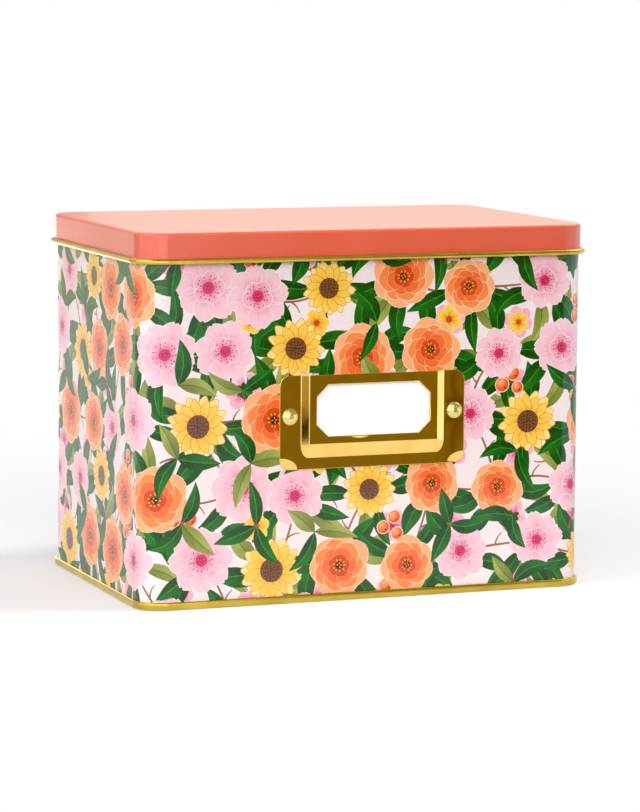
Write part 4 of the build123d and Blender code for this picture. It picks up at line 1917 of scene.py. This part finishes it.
    def build_card(self, paper: Material) -> Object:
        """Build the card that slides down behind the window, with softly cut edges."""
        low, high = (np.array(corner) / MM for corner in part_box("label_card"))
        half, middle = (high - low)[[0, 2]] / 2, (high + low)[[0, 2]] / 2
        far, near, soft = low[1], high[1], self.card_softness
        outline = rounded_rectangle(2 * half[0], 2 * half[1], self.card_corner, 10)
        rings = []
        for inset, y in ((soft, far), (0.0, far + soft), (0.0, near - soft), (soft, near)):
            ring = level_vector(outline * (1 - inset / half) + middle)
            ring[:, 1] = y
            rings.append(ring)
        draft = MeshDraft()
        numbers = draft.add_points(np.stack(rings))
        side = level_vector(unit(outline))
        ahead = np.broadcast_to([0.0, -1.0, 0.0], side.shape)
        draft.add_grid(closed(numbers), closed(np.stack([ahead, side, side, -ahead])), Skin.FACE)
        for row, facing in ((0, ahead), (-1, -ahead)):
            pole = draft.add_points(np.array([[middle[0], rings[row][0, 1], middle[1]]]))
            fan = np.stack([numbers[row], np.full(len(side), pole[0])])
            draft.add_grid(closed(fan), closed(np.stack([facing, facing])), Skin.FACE)
        return install(draft.build("label_card_sheet", [paper]), "label_card", "label_card")


@dataclass(frozen=True)
class RivetSection:
    """Half section of a rivet: radius outwards, and height over the wall's outer face."""

    brass: float
    tin: float
    head_radius: float = 2.9
    head_rise: float = 1.3
    dimple_radius: float = 0.9
    dimple_depth: float = 0.1
    shank_radius: float = 1.2
    tail_radius: float = 2.1
    tail_roll: float = 0.6
    tail_gap: float = 0.05
    bore_radius: float = 0.65
    bore_floor: float = 0.5

    def points(self) -> Array:
        """The section from the bore's floor out round the tail and the shank, over the dome.

        The dome is a circular arc of radius (r^2 + h^2) / (2 h), less a shallow dimple of
        depth (1 + cos(pi r / reach)) / 2 at its middle.
        """
        inside = -self.tin
        roll = np.linspace(0, math.pi, 9)
        ring_middle = (self.bore_radius + self.tail_radius) / 2
        ring_half = (self.tail_radius - self.bore_radius) / 2
        depth = self.tail_gap + (self.tail_roll - self.tail_gap) * np.sin(roll)
        tail = np.stack([ring_middle - ring_half * np.cos(roll), inside - depth], axis=-1)
        radius = (self.head_radius ** 2 + self.head_rise ** 2) / (2 * self.head_rise)
        reach = np.linspace(self.head_radius, 0, 17)
        dome = np.sqrt(radius ** 2 - reach ** 2) - radius + self.head_rise + self.brass
        wave = (1 + np.cos(math.pi * reach / self.dimple_radius)) / 2
        dimple = np.where(reach < self.dimple_radius, wave, 0)
        head = np.stack([reach, dome - self.dimple_depth * dimple], axis=-1)
        floor = [(0.0, self.bore_floor), (self.bore_radius, self.bore_floor)]
        shank = [(self.tail_radius, inside), (self.shank_radius, inside), (self.shank_radius, self.brass)]
        return np.concatenate([floor, tail, shank, head])


# ---- Studio ----


@dataclass(frozen=True)
class SoftBox:
    """A square soft lamp: where it stands, the length of its sides, its power and what it aims at."""

    name: str
    place: Triple
    size: float
    power: float
    aim: Triple = (0.0, 0.0, 60.0)

    def build(self) -> Object:
        """Hang the lamp. Mirror-like metal sees the screens and not the lamp."""
        lamp = bpy.data.lights.new(self.name, "AREA")
        lamp.shape = "RECTANGLE"
        lamp.size = lamp.size_y = self.size * MM
        lamp.energy = self.power
        made = put(self.name, lamp)
        made.location = Vector(self.place) * MM
        ray = (Vector(self.aim) - Vector(self.place)) * MM
        made.rotation_euler = ray.to_track_quat("-Z", "Y").to_euler()
        made.visible_glossy = False
        return made


@dataclass(frozen=True)
class Screen:
    """A curved screen round the tin that only reflections see, upright or leaning in.

    Angles are degrees about +Z from the front, positive towards +X. Its upper edge is as far away
    as its lower edge, less the lean.
    """

    name: str
    start: float
    end: float
    distance: float
    bottom: float
    top: float
    colour: str = "#FFFFFF"
    brightness: float = 1.0
    lean: float = 0.0

    def build(self) -> Object:
        """Hang the screen: points are the distance along the angle, at its bottom and its top."""
        angle = np.radians(np.linspace(self.start, self.end, 33))
        ring = np.stack([np.sin(angle), -np.cos(angle)], axis=-1)
        count = len(ring)
        rows = [
            np.column_stack([ring * far, np.full(count, z)])
            for far, z in ((self.distance, self.bottom), (self.distance - self.lean, self.top))
        ]
        faces = [(i, i + 1, count + i + 1, count + i) for i in range(count - 1)]
        mesh = bpy.data.meshes.new(self.name)
        mesh.from_pydata((np.concatenate(rows) * MM).tolist(), [], faces)
        material, tree = new_material(self.name + "_cloth")
        glow = add_node(tree, "Emission", (linear(self.colour), self.brightness))
        add_node(tree, "OutputMaterial", (glow,))
        mesh.materials.append(material)
        made = put(self.name, mesh)
        for sight in ("camera", "diffuse", "shadow", "transmission", "volume_scatter"):
            setattr(made, f"visible_{sight}", False)
        return made


# Dark cloths and cards that the flat brass, the pocket's slope and the rivets face
DARK_SCREENS = (
    Screen("dark_screen", 9, 34, 330, 0, 125, "#847318"),
    Screen("dim_screen", 9, 75, 331, 125, 1100, "#B2AC94"),
    Screen("dark_column", 24.3, 24.6, 325, 0, 110, "#5A3404"),
    Screen("low_dark_case", -26, -17, 465, 1.8, 14, "#2C1C08"),
    Screen("low_tan_case", -26, -17, 466, 14, 38, "#B8A870"),
)
# Pale screens round the tin, brightest in a band as high as the tin itself, so that its upright
# faces turn pale at low angles and the lid's flat top keeps its colour
PALE_SCREENS = (
    Screen("front_low_screen", -30, 8, 601, 0, 77, brightness=1.5),
    Screen("front_screen", -30, 8, 600, 77, 135, brightness=5.4),
    Screen("front_upper_screen", -30, 8, 601, 135, 800, brightness=1.5),
    Screen("left_low_screen", -65, -31, 601, 0, 77, brightness=1.3),
    Screen("left_screen", -65, -31, 600, 77, 135, brightness=3.8),
    Screen("left_upper_screen", -65, -31, 601, 135, 800, brightness=1.5),
    Screen("left_side_screen", -105, -66, 600, 0, 135, brightness=1.9),
    Screen("left_side_upper_screen", -105, -66, 601, 135, 800),
    Screen("dim_left_screen", -149, -106, 600, 0, 800, "#B4B4B4", 1.5),
    Screen("rear_left_low_screen", -172, -150, 260, 0, 102.5, "#FFF3E0", 2.8),
    Screen("rear_left_screen", -172, -150, 260, 102.5, 117, "#FFF3E0", 3.3),
    Screen("rear_left_high_screen", -179, -150, 262, 117, 800, "#D0CBBC"),
    Screen("rear_screen", 125, 205, 1000, 0, 500, "#FBF3E2"),
    Screen("right_screen", 38, 100, 380, 0, 124, "#E4EEFF", 1.7),
)
# High strips and a canopy, which the bends and curls and the lid's top face
HIGH_SCREENS = (
    Screen("rear_strip", 130, 200, 900, 600, 1090, brightness=5.0),
    Screen("left_high_screen", -112, -60, 560, 480, 1000, brightness=4.0),
    Screen("right_high_screen", 76, 110, 370, 320, 800, brightness=4.0),
    Screen("canopy", 0, 360, 1300, 1100, 1500, "#B8B6B0", 1.0, lean=1300),
)
SOFT_BOXES = (
    SoftBox("left_soft_box", (-1450, -350, 750), 1200, 16.0),
    SoftBox("overhead_soft_box", (100, -200, 1500), 1400, 4.4),
    SoftBox("right_soft_box", (609, -232, 1462), 320, 10.5),
    SoftBox("front_soft_box", (-300, -1350, 950), 1200, 15.5),
)


@dataclass
class Studio:
    """A white room with soft lamps, a pale floor, and screens that only reflections see.

    Ambient is the strength of the room's even light on matt faces, and floor_glow how far the floor
    is lifted to white for the eye. It turns to plain white between the two distances of fade. The
    camera's angles are degrees: yaw about +Z from the front, pitch below the horizon, and roll.
    It looks at a point to the right of and above the origin, from a distance.
    """

    ambient: float = 0.3
    floor_size: float = 6000.0
    floor_glow: float = 0.31
    floor_albedo: str = "#C4C4C4"
    fade: Pair = (170.0, 420.0)
    yaw: float = 20.841
    pitch: float = 7.102
    roll: float = 0.34
    distance: float = 1251.08
    aim_right: float = 2.362
    aim_height: float = 61.278
    focal: float = 153.05
    sensor: float = 36.0

    def lit_for_show(self, tree: Tree) -> Node:
        """A value that is 1 for rays from the camera, from mirrors and through glass, else 0."""
        camera, glossy, through = (
            add_node(tree, "LightPath").outputs[f"Is {ray} Ray"]
            for ray in ("Camera", "Glossy", "Transmission")
        )
        first = add_node(tree, "Math", (camera, glossy), operation="MAXIMUM")
        return add_node(tree, "Math", (first, through), operation="MAXIMUM")

    def build_room(self) -> None:
        """Set the world: white to the eye and to mirrors, and an even fill for everything else."""
        world = bpy.data.worlds.new("white_room")
        bpy.context.scene.world = world
        world.use_nodes = True
        tree = world.node_tree
        tree.nodes.clear()
        show = self.lit_for_show(tree)
        strength = add_node(tree, "MapRange", (show, 0.0, 1.0, self.ambient, 1.0))
        backdrop = add_node(tree, "Background", (WHITE, strength))
        add_node(tree, "OutputWorld", (backdrop,))

    def build_floor(self) -> Object:
        """Lay the floor: matt and pale, lifted to white for the eye but for the tin's shadow."""
        half = self.floor_size / 2 * MM
        corners = [(-half, -half, 0), (half, -half, 0), (half, half, 0), (-half, half, 0)]
        mesh = bpy.data.meshes.new("floor")
        mesh.from_pydata(corners, [], [(0, 1, 2, 3)])
        material, tree = new_material("pale_floor")
        show = self.lit_for_show(tree)
        place = add_node(tree, "TexCoord").outputs["Object"]
        away = add_node(tree, "VectorMath", (place,), operation="LENGTH").outputs["Value"]
        ends = [distance * MM for distance in self.fade]
        faded = add_node(tree, "MapRange", (away, *ends), interpolation_type="SMOOTHSTEP")
        lift = add_node(tree, "Math", (show, self.floor_glow), operation="MULTIPLY")
        shader = add_node(tree, "BsdfPrincipled", {
            "Base Color": linear(self.floor_albedo), "Roughness": 1.0, "Specular IOR Level": 0.0,
            "Emission Color": WHITE, "Emission Strength": lift,
        })
        white = add_node(tree, "Emission", (WHITE, show))
        add_node(tree, "OutputMaterial", (add_node(tree, "MixShader", (faded, shader, white)),))
        mesh.materials.append(material)
        made = put("floor", mesh)
        return made

    def build_camera(self) -> Object:
        """Set the camera at the photograph's angle.

        Its place is the point that it looks at, plus the distance along the backward axis.
        """
        yaw, pitch, roll = (math.radians(a) for a in (self.yaw, self.pitch, self.roll))
        back = Vector((-math.sin(yaw) * math.cos(pitch), -math.cos(yaw) * math.cos(pitch), math.sin(pitch)))
        level = Vector((math.cos(yaw), -math.sin(yaw), 0.0))
        upright = back.cross(level)
        right = level * math.cos(roll) + upright * math.sin(roll)
        up = upright * math.cos(roll) - level * math.sin(roll)
        target = level * self.aim_right + Vector((0, 0, self.aim_height))
        data = bpy.data.cameras.new("photo_camera")
        data.sensor_fit = "AUTO"
        data.sensor_width = self.sensor
        data.lens = self.focal
        data.clip_start, data.clip_end = 0.05, 50.0
        made = put("photo_camera", data)
        axes = Matrix((right, up, back)).transposed().to_4x4()
        axes.translation = (target + back * self.distance) * MM
        made.matrix_world = axes
        bpy.context.scene.camera = made
        return made

    def build(self) -> None:
        """Build the whole studio."""
        self.build_room()
        self.build_floor()
        for fitting in (*DARK_SCREENS, *PALE_SCREENS, *HIGH_SCREENS, *SOFT_BOXES):
            fitting.build()
        self.build_camera()
        bpy.context.scene.view_settings.view_transform = "Standard"


# ---- Assembly ----


def main() -> None:
    """Build the finishes, the tin piece by piece, and the studio round it."""
    logging.basicConfig(level=logging.INFO, format="%(name)s: %(message)s")
    litho = LithographedTinplate().material()
    enamel = StovedEnamel().material()
    lacquer = GOLD_LACQUER.material()
    brass = HOLDER_BRASS.material()
    rivet_brass = RIVET_BRASS.material()
    paper = CardStock().material()

    wall = WallLine()
    holder = LabelHolder(wall)
    body = TinBody(wall, rivet_places=holder.rivet_places)
    garden = FloralPrint(wall.half_length + 8, body.sheet_bottom, body.print_top + 2)
    body.build_wall(garden.draw(), litho, lacquer)
    body.build_rim(lacquer)
    body.build_foot(lacquer)
    body.build_lock_seam(lacquer)
    BasePan(wall).build(lacquer)
    SlipLid(wall).build(enamel, lacquer)
    holder.build_plate(brass)
    for number, place in enumerate(holder.rivet_places, start=1):
        holder.build_rivet(number, place, rivet_brass)
    holder.build_card(paper)
    Studio().build()


if __name__ == "__main__":
    main()
